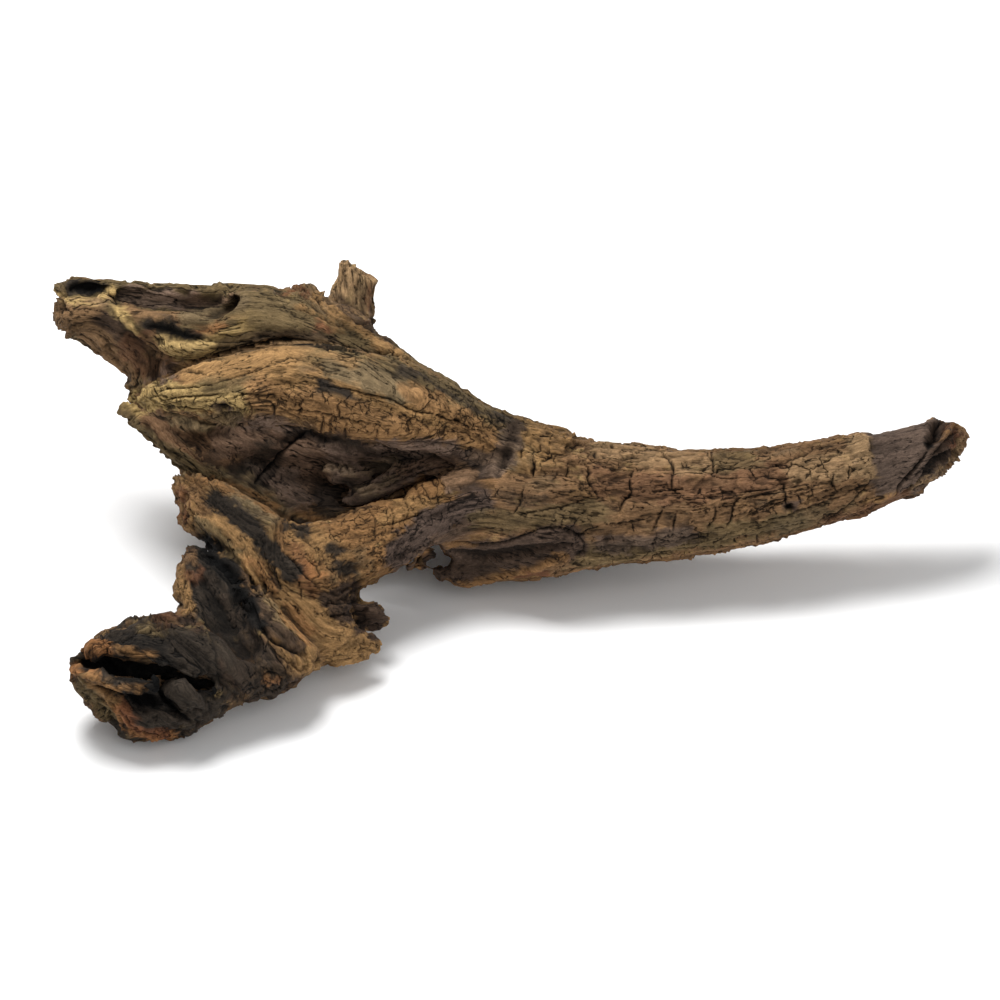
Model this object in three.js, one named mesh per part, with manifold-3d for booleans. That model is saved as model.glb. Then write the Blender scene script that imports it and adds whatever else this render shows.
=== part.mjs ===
// A piece of aquarium driftwood: a tapering trunk that splays at its root end into gnarled limbs round a
// hollow. The wood grew as one piece, so it is one mesh. Its form is a field of signed distances, in
// millimetres: rounded limbs are melted together along smooth curves, hollows are carved out of them, and
// furrows and bark plates are added by formula. The field is turned into triangles, thinned, and given flat
// spots where it rests.
import * as THREE from "three";
import { edgeTable, triTable } from "three/addons/objects/MarchingCubes.js";
import Module from "manifold-3d";

// Driving dimensions.
const LENGTH = 459; // overall length of the wood
const LEAN = THREE.MathUtils.degToRad(35); // how far the viewer of the limb tables looks down on the wood
const FLOOR_CUT = 1.6; // how deep the resting spots are worn flat
const CELL = 2.6; // size of a cell of the field
const MARGIN = 9; // how far outside a limb the field is still worked out
const FAR = 30; // the field's value away from all limbs
const TRIANGLES = 11200; // faces of the thinned mesh
const COLOUR = 0x6f5638;

// Every row is [across, up, toward, radius], seen by someone in front who looks down on the wood by LEAN.
// "across" grows to the right, "up" grows up the view, and "toward" grows toward the viewer.
// blend is how softly a limb melts into the rest, and thin flattens it along the line of sight.
const LIMBS = {
  trunk: { blend: 10, rows: [
    [-12, 0, -4, 39], [20, -2.4, 0, 39.4], [50, -2, 0, 33], [80, -2, 2, 29.6], [105, -1.2, 3, 26.2],
    [130, 2.2, 2, 24.5], [150, 6.2, 1, 22.7], [175, 10.7, 0, 20.9], [200, 17.6, -2, 18.6],
    [214, 22.5, -3, 17.5], [226, 26, -4, 15.5], [236, 29, -4, 12]] },
  shoulder: { blend: 10, rows: [
    [45, 3, -4, 24], [22, 12, -6, 22], [0, 23, -8, 16.5], [-12, 33, -8, 16], [-22, 40, -8, 16],
    [-45, 52, -8, 16]] },
  core: { blend: 14, thin: 0.75, rows: [
    [0, 4, -12, 34], [-35, 12, -24, 34], [-75, 22, -30, 34], [-115, 32, -28, 30], [-145, 44, -20, 24]] },
  wall_behind_hollow: { blend: 8, rows: [
    [-146, 14, -14, 14], [-122, 0, -16, 18], [-96, -8, -18, 18], [-70, -10, -16, 18],
    [-46, -8, -10, 20]] },
  upper_limb: { blend: 7, rows: [
    [-30, 45, -8, 16], [-48, 55.5, -8, 17], [-70, 69, -8, 18], [-92, 78, -6, 21], [-116, 84, -4, 22],
    [-140, 85, -4, 22], [-163, 86, -6, 21], [-184, 91, -9, 18.5], [-202, 96, -12, 17],
    [-211, 97, -13, 15.5]] },
  upper_ledge: { blend: 5, rows: [
    [-42, 62, -20, 9], [-60, 76, -20, 9], [-78, 88, -18, 8.5], [-91, 96, -18, 5]] },
  knot_bump: { blend: 3, rows: [[-106, 100, -14, 6.5], [-98, 103, -14, 5.5]] },
  stub: { blend: 3, thin: 0.7, rows: [
    [-74, 84, -32, 14], [-73.5, 98, -30, 12.6], [-72, 108, -28, 11.2], [-70.5, 122, -27, 10.3]] },
  left_shell: { blend: 9, thin: 0.6, rows: [
    [-204, 92, -14, 14], [-188, 80, -16, 15], [-170, 67, -16, 18], [-166, 50, -14, 22],
    [-154, 36, -12, 20.5], [-138, 24, -10, 20], [-126, 16, -8, 17]] },
  shell_rim: { blend: 4, rows: [
    [-188, 46, -2, 3.5], [-183, 42, 0, 5.5], [-172, 32, 2, 6.5], [-160, 20, 4, 7], [-148, 11, 6, 6.5]] },
  middle_ridge: { blend: 5, thin: 0.9, rows: [
    [-181, 51, 22, 4], [-170, 51.5, 28, 10], [-152, 53, 34, 15.5], [-126, 56, 38, 18.5],
    [-101, 58, 40, 20.5], [-76, 54, 40, 22], [-50, 47, 35, 21], [-27, 40, 28, 17], [-6, 34, 20, 15],
    [16, 26, 12, 17]] },
  lower_limb: { blend: 7, rows: [
    [10, 0, 6, 26], [-14, -4, 16, 19], [-30, -8, 22, 16.5], [-50, -14, 30, 17], [-74, -27, 38, 20],
    [-94, -36, 46, 23], [-98, -50, 54, 24], [-90, -64, 60, 19]] },
  hook: { blend: 4, rows: [[-38, -20, 16, 9], [-39, -29, 14, 6], [-44.5, -33.5, 13, 3.8]] },
  band: { blend: 4, thin: 0.9, rows: [
    [-166, 2, 33, 13], [-160, 0, 36, 13], [-148, -5, 42, 15], [-130, -16, 50, 17.5], [-113, -31, 57, 19],
    [-100, -48, 62, 20], [-90, -63, 64, 18], [-78, -72, 62, 11], [-66, -72, 60, 6]] },
  spur: { blend: 4, rows: [[-82, -58, 52, 14], [-68, -58, 50, 9], [-61, -60, 49, 6]] },
  dark_fold: { blend: 5, rows: [
    [-155, -26, 58, 4], [-151, -37, 64, 14], [-142, -54, 74, 21], [-128, -70, 84, 24],
    [-114, -80, 88, 20], [-103, -82, 86, 13]] },
  left_lobe: { blend: 6, rows: [
    [-122, -78, 92, 19], [-146, -85, 100, 23], [-164, -88, 104, 26], [-180, -88, 105, 27],
    [-196, -86, 104, 21], [-205, -84, 103, 12]] },
  lobe_top: { blend: 4, rows: [
    [-152, -67, 92, 10], [-168, -64, 92, 9.5], [-182, -65, 94, 9.5], [-196, -73, 98, 9],
    [-204, -76, 100, 5]] },
  lobe_foot: { blend: 6, rows: [
    [-192, -97, 104, 14], [-177, -103.5, 104, 19], [-162, -103, 102, 18], [-148, -98, 98, 14]] },
  trunk_flap: { blend: 4, rows: [
    [-27, -33, 6, 9], [-16, -33, 5, 10.5], [2, -31.5, 4, 11], [24, -27, 2, 12]] },
  back_root: { blend: 14, rows: [
    [-50, 24, -22, 34], [-82, 28, -42, 28], [-106, 25, -62, 20], [-124, 19, -76, 16],
    [-134, 18, -84, 14]] },
  back_root_fork: { blend: 8, rows: [
    [-76, 24, -44, 22], [-66, 20, -62, 15], [-58, 18, -74, 12], [-54, 17, -84, 8]] },
  back_rib: { blend: 10, rows: [
    [20, 14, -22, 26], [-30, 32, -30, 26], [-80, 52, -32, 24], [-130, 66, -26, 20],
    [-170, 74, -20, 15]] },
};

// What has rotted or worn away, in the same rows. sharp is how crisp the rim of the hollow is, and here thin
// deepens it along the line of sight.
const HOLLOWS = {
  main_hollow: { sharp: 4, thin: 1.5, rows: [
    [-128, 22, 14, 11], [-112, 14, 13, 15], [-92, 7, 13, 18], [-70, 6, 13, 18], [-48, 9, 14, 14],
    [-30, 12, 14, 10], [-17, 12, 13, 6.5]] },
  hollow_side: { sharp: 4, rows: [[-136, 26, 30, 13], [-156, 32, 34, 11], [-180, 34, 38, 11]] },
  trough: { sharp: 1.5, thin: 1.7, rows: [
    [-190, 101.5, 4, 5], [-176, 99.5, 6, 6.5], [-160, 98.5, 9, 7.5], [-144, 98, 9, 7.5],
    [-134, 98, 6, 5]] },
  second_slot: { sharp: 1.5, thin: 1.6, rows: [
    [-177, 83.5, 14, 2.5], [-163, 84, 18, 3.6], [-148, 85, 18, 2.5]] },
  tube_end: { sharp: 1.5, thin: 1.6, rows: [
    [-217, 106, 4, 3.5], [-207, 105, 2, 4.5], [-198, 104, 2, 3]] },
  shell_recess: { sharp: 8, rows: [[-196, 84, 14, 8], [-180, 72, 14, 12], [-166, 62, 18, 11]] },
  under_upper_limb: { sharp: 5, rows: [
    [-165, 68, 26, 6], [-140, 70, 26, 7], [-116, 76, 24, 7], [-92, 78, 26, 5]] },
  lobe_crevice: { sharp: 2, thin: 1.6, rows: [
    [-214, -80, 112, 3], [-204, -82, 116, 4], [-190, -84, 122, 5.5], [-174, -86, 124, 6],
    [-158, -90, 120, 5.5], [-146, -93, 116, 3]] },
  lobe_pocket: { sharp: 4, rows: [[-180, -101, 130, 6], [-170, -100, 128, 8]] },
  fold_hollow: { sharp: 6, rows: [[-148, -40, 86, 8], [-138, -58, 98, 11], [-130, -74, 108, 9]] },
  band_crease: { sharp: 3, rows: [
    [-158, -22, 66, 4], [-142, -30, 74, 6], [-128, -44, 82, 6], [-118, -58, 88, 6], [-104, -74, 92, 4]] },
  spur_hole: { sharp: 3, rows: [[-72, -58, 62, 6], [-64, -62, 60, 6]] },
  notch: { sharp: 3, rows: [
    [-31, -29, 30, 4], [-30, -29, 10, 5], [-29, -29, -10, 6], [-32, -34, -20, 9]] },
  flap_slot: { sharp: 1.5, rows: [[-40, -31, 20, 2], [-34, -31.2, 6, 2], [-23, -31.2, 6, 1.4]] },
};

// Ribs of harder wood that were left standing in the hollow, in the same rows.
const RIBS = {
  hollow_rib: { blend: 3, rows: [
    [-76, 1, -4, 4], [-56, 9.5, 0, 5], [-43, 15.5, 4, 5], [-24, 18.5, 10, 4.5]] },
  grey_boss: { blend: 3, rows: [[-84, 12, -8, 5], [-76, 13, -6, 6], [-70, 12, -7, 5]] },
};

// Ends that snapped off flat: a point of the break, the way that it faces, and how far it reaches from there.
const BREAKS = {
  stub_top: { at: [-71.2, 115.5, -28], facing: [0.5, 0.86, 0.1], reach: 26 },
  trunk_tip: { at: [224, 22.5, -4], facing: [0.82, -0.5, 0.28], reach: 30 },
  trunk_tip_top: { at: [226, 36, -4], facing: [0.42, 0.85, 0.3], reach: 16 },
  band_end: { at: [-161.5, 1, 36], facing: [-0.95, -0.05, 0.3], reach: 22 },
  back_root_end: { at: [-127, 18, -80], facing: [-0.55, 0.1, -0.83], reach: 26 },
  back_fork_end: { at: [-57, 18, -77], facing: [0.3, 0.25, -0.92], reach: 18 },
  tube_lip: { at: [-222.5, 96, -8], facing: [-0.96, 0.05, 0.28], reach: 20 },
};

// The fine relief: how often it changes with each mm along and across the view, and its depth in mm.
const FURROWS = { along: 0.025, across: 0.35, depth: 1.1 };
const LUMPS = { along: 0.07, across: 0.09, depth: 1.3, shift: 9 };
// The checked plates of bark on the trunk, between two places across the view.
const BARK = { from: -8, to: 185, fade_in: 12, fade_out: 2.5, plate: 13, stagger: 7.3 };
const PLATE = { proud: 1.1, uneven: 1.8 };
const CRACK = { share: 0.12, depth: 0.9, wander: 5, wave: 0.05 };

// How the thinning weighs an edge: when a best place is too vague to use, how many edge lengths away it may
// lie, what length costs, and how far a face may turn.
const THINNING = { singular: 1e-4, farthest: 1.5, length_cost: 1e-4, least_turn: 0.35 };
const TINY = 1e-9;

const sine = Math.sin(LEAN);
const cosine = Math.cos(LEAN);

// Random values on a lattice, the same on every run.
function latticeValue(i, j, k) {
  let h = Math.imul(i, 374761393) + Math.imul(j, 668265263) + Math.imul(k, 2147483647);
  h = Math.imul(h ^ (h >>> 13), 1274126177);
  return ((h ^ (h >>> 16)) >>> 0) / 4294967295;
}

// Smooth noise from -1 to 1.
function noise(x, y, z) {
  const [i, j, k] = [Math.floor(x), Math.floor(y), Math.floor(z)];
  const [a, b, c] = [x - i, y - j, z - k].map((t) => t * t * (3 - 2 * t));
  let sum = 0;
  for (let corner = 0; corner < 8; corner++) {
    const [di, dj, dk] = [corner & 1, (corner >> 1) & 1, corner >> 2];
    const weight = (di ? a : 1 - a) * (dj ? b : 1 - b) * (dk ? c : 1 - c);
    sum += weight * latticeValue(i + di, j + dj, k + dk);
  }
  return 2 * sum - 1;
}

// A limb's rows as a finely stepped chain of [across, up, toward, radius].
function chainOf(rows) {
  if (rows.length === 1) return [rows[0], rows[0]];
  const points = rows.map(([across, up, toward]) => new THREE.Vector3(across, up, toward));
  const path = new THREE.CatmullRomCurve3(points, false, "centripetal");
  const steps = (rows.length - 1) * 3;
  return Array.from({ length: steps + 1 }, (_, n) => {
    const place = (n / steps) * (rows.length - 1);
    const row = Math.min(Math.floor(place), rows.length - 2);
    const radius = THREE.MathUtils.lerp(rows[row][3], rows[row + 1][3], place - row);
    return [...path.getPoint(n / steps).toArray(), radius];
  });
}

// The distance from a point to a chain of tapering round links, flattened along the line of sight.
function distanceToChain(chain, thin, x, y, z) {
  let nearest = Infinity;
  for (let n = 0; n + 1 < chain.length; n++) {
    const [ax, ay, az, ar] = chain[n];
    const [bx, by, bz, br] = chain[n + 1];
    const [dx, dy, dz] = [bx - ax, by - ay, bz - az];
    const along = ((x - ax) * dx + (y - ay) * dy + (z - az) * dz) / (dx * dx + dy * dy + dz * dz + TINY);
    const t = THREE.MathUtils.clamp(along, 0, 1);
    const [px, py, pz] = [x - ax - t * dx, y - ay - t * dy, (z - az - t * dz) / thin];
    nearest = Math.min(nearest, Math.sqrt(px * px + py * py + pz * pz) - ar - t * (br - ar));
  }
  return nearest;
}

// The smaller of two distances, melted together where they differ by less than the blend.
function meltedMin(a, b, blend) {
  const h = Math.max(blend - Math.abs(a - b), 0) / blend;
  return Math.min(a, b) - h * h * blend * 0.25;
}

// Ridges, furrows and the cracked plates of bark, as an amount to lower the surface by.
function relief(x, y, z) {
  const furrows = noise(x * FURROWS.along, y * FURROWS.across, z * FURROWS.across) * FURROWS.depth;
  const lumps = noise(x * LUMPS.along + LUMPS.shift, y * LUMPS.across, z * LUMPS.across) * LUMPS.depth;
  const inwards = Math.min((x - BARK.from) / BARK.fade_in, (BARK.to - x) / BARK.fade_out);
  const onBark = THREE.MathUtils.clamp(inwards, 0, 1);
  const wander = CRACK.wander * noise(x * CRACK.wave, y * CRACK.wave + LUMPS.shift, z * CRACK.wave);
  const row = Math.floor((y + wander) / BARK.plate);
  const along = (x + wander + row * BARK.stagger) / BARK.plate;
  const column = Math.floor(along);
  const plate = PLATE.proud + (latticeValue(row, column, 0) - 0.5) * PLATE.uneven;
  const crack = Math.abs(along - column - 0.5) > (1 - CRACK.share) / 2 ? CRACK.depth : 0;
  return furrows + lumps + onBark * (crack - plate);
}

// Cuts the field off flat beyond a break.
function snapOff(field, { at, facing, reach }) {
  const from = at.map((place) => place - reach);
  const to = at.map((place) => place + reach);
  eachNode(field, from, to, (index, x, y, z) => {
    const away = [x - at[0], y - at[1], z - at[2]];
    const beyond = away[0] * facing[0] + away[1] * facing[1] + away[2] * facing[2];
    if (Math.hypot(...away) < reach) field.values[index] = Math.max(field.values[index], beyond);
  });
}

// The signed distances on a lattice of cells that holds the whole wood.
function makeField() {
  const low = [-236, -136, -104];
  const high = [246, 132, 146];
  const count = low.map((l, axis) => Math.ceil((high[axis] - l) / CELL) + 1);
  const values = new Float32Array(count[0] * count[1] * count[2]).fill(FAR);
  const field = { low, count, values };
  const touch = (rows, margin, change) => {
    const chain = chainOf(rows);
    const from = [0, 1, 2].map((axis) => Math.min(...chain.map((c) => c[axis] - c[3])) - margin);
    const to = [0, 1, 2].map((axis) => Math.max(...chain.map((c) => c[axis] + c[3])) + margin);
    eachNode(field, from, to, (index, x, y, z) => {
      values[index] = change(chain, values[index], x, y, z);
    });
  };
  const add = ({ blend, thin = 1, rows }) => {
    touch(rows, blend + MARGIN, (chain, old, x, y, z) => {
      return meltedMin(old, distanceToChain(chain, thin, x, y, z), blend);
    });
  };
  Object.values(LIMBS).forEach(add);
  for (const { sharp, thin = 1, rows } of Object.values(HOLLOWS)) {
    touch(rows, sharp + MARGIN, (chain, old, x, y, z) => {
      return -meltedMin(-old, distanceToChain(chain, thin, x, y, z), sharp);
    });
  }
  Object.values(RIBS).forEach(add);
  Object.values(BREAKS).forEach((snapped) => snapOff(field, snapped));
  eachNode(field, low, high, (index, x, y, z) => {
    if (Math.abs(values[index]) < MARGIN) values[index] += relief(x, y, z);
  });
  return field;
}

// Calls visit(index, x, y, z) for the nodes of the field between two corners.
function eachNode({ low, count }, from, to, visit) {
  const first = low.map((l, axis) => Math.max(0, Math.floor((from[axis] - l) / CELL)));
  const last = low.map((l, axis) => Math.min(count[axis] - 1, Math.ceil((to[axis] - l) / CELL)));
  for (let k = first[2]; k <= last[2]; k++) {
    for (let j = first[1]; j <= last[1]; j++) {
      for (let i = first[0]; i <= last[0]; i++) {
        visit((k * count[1] + j) * count[0] + i, low[0] + i * CELL, low[1] + j * CELL, low[2] + k * CELL);
      }
    }
  }
}

// The corners and edges of a cell, in the order that the marching cubes tables use.
const CORNERS = [[0, 0, 0], [1, 0, 0], [1, 1, 0], [0, 1, 0], [0, 0, 1], [1, 0, 1], [1, 1, 1], [0, 1, 1]];
const EDGES = [
  [0, 1], [1, 2], [3, 2], [0, 3], [4, 5], [5, 6], [7, 6], [4, 7], [0, 4], [1, 5], [2, 6], [3, 7]];

// The surface where the field is zero, as shared vertices and triangles.
function surfaceOf({ low, count, values }) {
  const positions = [];
  const triangles = [];
  const made = new Map();
  const node = (i, j, k) => (k * count[1] + j) * count[0] + i;
  const crossing = (cell, edge) => {
    const [a, b] = EDGES[edge].map((corner) => CORNERS[corner].map((c, axis) => c + cell[axis]));
    const [ia, ib] = [node(...a), node(...b)];
    const key = Math.min(ia, ib) * 3 + (a[0] !== b[0] ? 0 : a[1] !== b[1] ? 1 : 2);
    if (!made.has(key)) {
      const t = THREE.MathUtils.clamp(values[ia] / (values[ia] - values[ib]), 0.05, 0.95);
      made.set(key, positions.length / 3);
      positions.push(...a.map((c, axis) => low[axis] + (c + t * (b[axis] - c)) * CELL));
    }
    return made.get(key);
  };
  for (let k = 0; k + 1 < count[2]; k++) {
    for (let j = 0; j + 1 < count[1]; j++) {
      for (let i = 0; i + 1 < count[0]; i++) {
        let kind = 0;
        for (let c = 0; c < 8; c++) {
          const [di, dj, dk] = CORNERS[c];
          if (values[node(i + di, j + dj, k + dk)] < 0) kind |= 1 << c;
        }
        if (!edgeTable[kind]) continue;
        for (let t = kind * 16; triTable[t] !== -1; t += 3) {
          const edges = [triTable[t], triTable[t + 2], triTable[t + 1]];
          triangles.push(...edges.map((edge) => crossing([i, j, k], edge)));
        }
      }
    }
  }
  return { positions, triangles };
}

// Thins a mesh to a number of triangles: the edge whose loss changes the surface least is closed up, again
// and again. The cost of a place is its summed squared distance to the planes of the faces that met there.
function thinned({ positions, triangles }, wanted) {
  const place = Float64Array.from(positions);
  const faces = Int32Array.from(triangles);
  const vertices = place.length / 3;
  const planes = new Float64Array(vertices * 10);
  const around = Array.from({ length: vertices }, () => new Set());
  const version = new Int32Array(vertices);
  const at = (v) => [place[3 * v], place[3 * v + 1], place[3 * v + 2]];
  const normalOf = (a, b, c) => {
    const [x1, y1, z1] = [b[0] - a[0], b[1] - a[1], b[2] - a[2]];
    const [x2, y2, z2] = [c[0] - a[0], c[1] - a[1], c[2] - a[2]];
    return [y1 * z2 - z1 * y2, z1 * x2 - x1 * z2, x1 * y2 - y1 * x2];
  };
  for (let f = 0; f < faces.length / 3; f++) {
    const corners = [faces[3 * f], faces[3 * f + 1], faces[3 * f + 2]];
    const [a, b, c] = corners.map(at);
    const n = normalOf(a, b, c);
    const size = Math.hypot(...n) || TINY;
    const [x, y, z] = n.map((value) => value / size);
    const d = -(x * a[0] + y * a[1] + z * a[2]);
    const terms = [x * x, x * y, x * z, x * d, y * y, y * z, y * d, z * z, z * d, d * d];
    for (const v of corners) {
      around[v].add(f);
      terms.forEach((term, n10) => (planes[10 * v + n10] += term * size));
    }
  }
  const costAt = (q, [x, y, z]) =>
    x * (q[0] * x + 2 * (q[1] * y + q[2] * z + q[3])) +
    y * (q[4] * y + 2 * (q[5] * z + q[6])) +
    z * (q[7] * z + 2 * q[8]) +
    q[9];
  const bestPlace = (a, b) => {
    const q = new Float64Array(10);
    for (let n = 0; n < 10; n++) q[n] = planes[10 * a + n] + planes[10 * b + n];
    const [pa, pb] = [at(a), at(b)];
    const middle = pa.map((value, axis) => (value + pb[axis]) / 2);
    const span = Math.hypot(...pa.map((value, axis) => value - pb[axis]));
    const options = [middle, pa, pb];
    const matrix = new THREE.Matrix3().set(q[0], q[1], q[2], q[1], q[4], q[5], q[2], q[5], q[7]);
    const size = q[0] + q[4] + q[7];
    if (Math.abs(matrix.determinant()) > THINNING.singular * size * size * size) {
      const exact = new THREE.Vector3(-q[3], -q[6], -q[8]).applyMatrix3(matrix.invert()).toArray();
      const moved = Math.hypot(...exact.map((value, axis) => value - middle[axis]));
      if (moved < THINNING.farthest * span) options.unshift(exact);
    }
    const costs = options.map((option) => costAt(q, option));
    const best = costs.indexOf(Math.min(...costs));
    return { cost: Math.max(0, costs[best]) + THINNING.length_cost * span * span, spot: options[best] };
  };
  const heap = [];
  const less = (m, n) => heap[m].cost < heap[n].cost;
  const swap = (m, n) => ([heap[m], heap[n]] = [heap[n], heap[m]]);
  const push = (item) => {
    let n = heap.push(item) - 1;
    while (n > 0 && less(n, (n - 1) >> 1)) {
      swap(n, (n - 1) >> 1);
      n = (n - 1) >> 1;
    }
  };
  const pop = () => {
    const top = heap[0];
    const end = heap.pop();
    if (heap.length) heap[0] = end;
    for (let n = 0; ;) {
      let child = 2 * n + 1;
      if (child >= heap.length) break;
      if (child + 1 < heap.length && less(child + 1, child)) child++;
      if (!less(child, n)) break;
      swap(child, n);
      n = child;
    }
    return top;
  };
  const consider = (a, b) => push({ a, b, va: version[a], vb: version[b], ...bestPlace(a, b) });
  const cornersOf = (f) => [faces[3 * f], faces[3 * f + 1], faces[3 * f + 2]];
  const neighbours = (v) => new Set([...around[v]].flatMap(cornersOf).filter((other) => other !== v));
  for (let f = 0; f < faces.length / 3; f++) {
    const [a, b, c] = cornersOf(f);
    for (const [m, n] of [[a, b], [b, c], [c, a]]) if (m < n) consider(m, n);
  }
  const turnsOver = (v, gone, spot) =>
    [...around[v]].some((f) => {
      const corners = cornersOf(f);
      if (corners.includes(gone)) return false;
      const before = normalOf(...corners.map(at));
      const after = normalOf(...corners.map((corner) => (corner === v ? spot : at(corner))));
      const dot = before[0] * after[0] + before[1] * after[1] + before[2] * after[2];
      return dot < THINNING.least_turn * Math.hypot(...before) * Math.hypot(...after) + TINY;
    });
  let left = faces.length / 3;
  while (left > wanted && heap.length) {
    const { a, b, va, vb, spot } = pop();
    if (version[a] !== va || version[b] !== vb) continue;
    const nearA = neighbours(a);
    const shared = [...neighbours(b)].filter((v) => nearA.has(v));
    if (shared.length !== 2 || turnsOver(a, b, spot) || turnsOver(b, a, spot)) continue;
    for (const f of [...around[b]]) {
      const corners = cornersOf(f);
      if (corners.includes(a)) {
        corners.forEach((v) => around[v].delete(f));
        left--;
      } else {
        faces[3 * f + corners.indexOf(b)] = a;
        around[a].add(f);
      }
    }
    around[b].clear();
    version[b] = -1;
    version[a]++;
    place.set(spot, 3 * a);
    for (let n = 0; n < 10; n++) planes[10 * a + n] += planes[10 * b + n];
    for (const v of neighbours(a)) consider(a, v);
  }
  const number = new Map();
  const keptPlaces = [];
  const keptFaces = [];
  around.forEach((around_v, v) => {
    if (!around_v.size) return;
    number.set(v, keptPlaces.length / 3);
    keptPlaces.push(...at(v));
  });
  new Set(around.flatMap((around_v) => [...around_v])).forEach((f) => {
    keptFaces.push(...cornersOf(f).map((v) => number.get(v)));
  });
  return { positions: keptPlaces, triangles: keptFaces };
}

// The largest body of a mesh: crumbs that the relief cut loose are dropped.
function largestBody({ positions, triangles }) {
  const parent = Int32Array.from({ length: positions.length / 3 }, (_, v) => v);
  const rootOf = (v) => {
    while (parent[v] !== v) v = parent[v] = parent[parent[v]];
    return v;
  };
  for (let t = 0; t < triangles.length; t += 3) {
    parent[rootOf(triangles[t])] = rootOf(triangles[t + 1]);
    parent[rootOf(triangles[t + 1])] = rootOf(triangles[t + 2]);
  }
  const sizes = new Map();
  triangles.forEach((v) => sizes.set(rootOf(v), (sizes.get(rootOf(v)) || 0) + 1));
  const [[winner]] = [...sizes].sort((m, n) => n[1] - m[1]);
  const kept = [];
  for (let t = 0; t < triangles.length; t += 3) {
    if (rootOf(triangles[t]) === winner) kept.push(triangles[t], triangles[t + 1], triangles[t + 2]);
  }
  return { positions, triangles: kept };
}

// Turns the mesh from the viewer's frame to one with Z up, X along the wood and Y away from the viewer.
function stoodUp({ positions, triangles }) {
  const turned = [];
  for (let n = 0; n < positions.length; n += 3) {
    const [across, up, toward] = positions.slice(n, n + 3);
    turned.push(across, up * sine - toward * cosine, up * cosine + toward * sine);
  }
  return { positions: turned, triangles };
}

const wasm = await Module();
wasm.setup();

function solidFrom({ positions, triangles }) {
  const mesh = new wasm.Mesh({
    numProp: 3, vertProperties: Float32Array.from(positions), triVerts: Uint32Array.from(triangles) });
  return new wasm.Manifold(mesh);
}

function geometryFrom(solid) {
  const { numProp, vertProperties, triVerts } = solid.getMesh();
  const geometry = new THREE.BufferGeometry();
  geometry.setAttribute("position", new THREE.BufferAttribute(Float32Array.from(vertProperties), numProp));
  geometry.setIndex(new THREE.BufferAttribute(Uint32Array.from(triVerts), 1));
  return geometry;
}

// A closed slab under the wood, whose top is the floor.
function slabBelow(height) {
  const corners = [];
  for (const z of [height - LENGTH / 8, height]) {
    corners.push(-LENGTH, -LENGTH, z, LENGTH, -LENGTH, z, LENGTH, LENGTH, z, -LENGTH, LENGTH, z);
  }
  const faces = [0, 2, 1, 0, 3, 2, 4, 5, 6, 4, 6, 7];
  for (let n = 0; n < 4; n++) {
    const next = (n + 1) % 4;
    faces.push(n, next, 4 + next, n, 4 + next, 4 + n);
  }
  return solidFrom({ positions: corners, triangles: faces });
}

const wood = solidFrom(stoodUp(thinned(largestBody(surfaceOf(makeField())), TRIANGLES)));
const floor = wood.boundingBox().min[2] + FLOOR_CUT;
const rested = geometryFrom(wood.subtract(slabBelow(floor)));
rested.computeBoundingBox();
const size = rested.boundingBox.getSize(new THREE.Vector3());
const middle = rested.boundingBox.getCenter(new THREE.Vector3());
rested.translate(-middle.x, -middle.y, -floor);
rested.scale(LENGTH / size.x, LENGTH / size.x, LENGTH / size.x);

const driftwood = new THREE.Mesh(
  rested,
  new THREE.MeshStandardMaterial({ color: COLOUR, roughness: 0.9, metalness: 0 }),
);
driftwood.name = "driftwood";
const part = new THREE.Group();
part.add(driftwood);

export default part;
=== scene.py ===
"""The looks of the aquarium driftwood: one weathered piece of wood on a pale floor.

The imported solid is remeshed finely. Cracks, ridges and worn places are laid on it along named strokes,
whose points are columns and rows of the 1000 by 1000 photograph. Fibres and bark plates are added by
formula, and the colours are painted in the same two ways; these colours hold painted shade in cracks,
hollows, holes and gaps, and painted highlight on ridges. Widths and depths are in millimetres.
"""
import math

import bmesh
import bpy
import numpy as np
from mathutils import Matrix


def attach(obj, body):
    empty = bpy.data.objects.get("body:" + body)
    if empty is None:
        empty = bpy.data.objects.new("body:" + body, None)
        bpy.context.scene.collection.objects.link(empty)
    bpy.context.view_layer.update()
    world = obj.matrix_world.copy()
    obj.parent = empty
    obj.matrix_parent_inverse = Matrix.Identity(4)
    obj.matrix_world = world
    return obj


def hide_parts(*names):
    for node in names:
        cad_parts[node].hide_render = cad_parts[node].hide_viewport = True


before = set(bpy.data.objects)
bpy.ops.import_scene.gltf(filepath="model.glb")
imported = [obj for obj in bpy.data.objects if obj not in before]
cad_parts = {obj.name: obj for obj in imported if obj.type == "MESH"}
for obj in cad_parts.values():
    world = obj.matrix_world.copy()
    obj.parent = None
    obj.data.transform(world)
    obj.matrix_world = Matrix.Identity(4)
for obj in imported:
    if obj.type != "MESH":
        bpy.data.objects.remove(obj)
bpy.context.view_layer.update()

LEAN = math.radians(35)  # how far the camera looks down
MM = 0.001  # in metres
MM_PER_PIXEL = 0.5
PHOTO_SIZE = 1000
PHOTO_MIDDLE = ((52 + 970) / 2, (258 + 745) / 2)  # halfway between the wood's edges in the photograph
VOXEL = 0.00095  # size of the fine mesh's cells, in metres
SMOOTHING = 14  # rounds of smoothing that take the cells' steps out
MOST_TRIANGLES = 196000
BARK_THICKNESS = 1.2  # how far the bark stands above the bare wood


# Seeing the wood as the photograph does

def view_axes(co):
    """Across, up and toward the camera, in mm, for world points in metres."""
    across = co[:, 0] / MM
    up = (co[:, 1] * math.sin(LEAN) + co[:, 2] * math.cos(LEAN)) / MM
    toward = (co[:, 2] * math.sin(LEAN) - co[:, 1] * math.cos(LEAN)) / MM
    return across, up, toward


def values_of(items, field, width=3):
    """A field of a mesh's vertices or of one of its attributes, as rows or as single values."""
    values = np.empty(len(items) * width, np.float32)
    items.foreach_get(field, values)
    return values.reshape(-1, width).astype(float) if width > 1 else values.astype(float)


def vertex_array(mesh, name="co"):
    return values_of(mesh.vertices, name)


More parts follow.
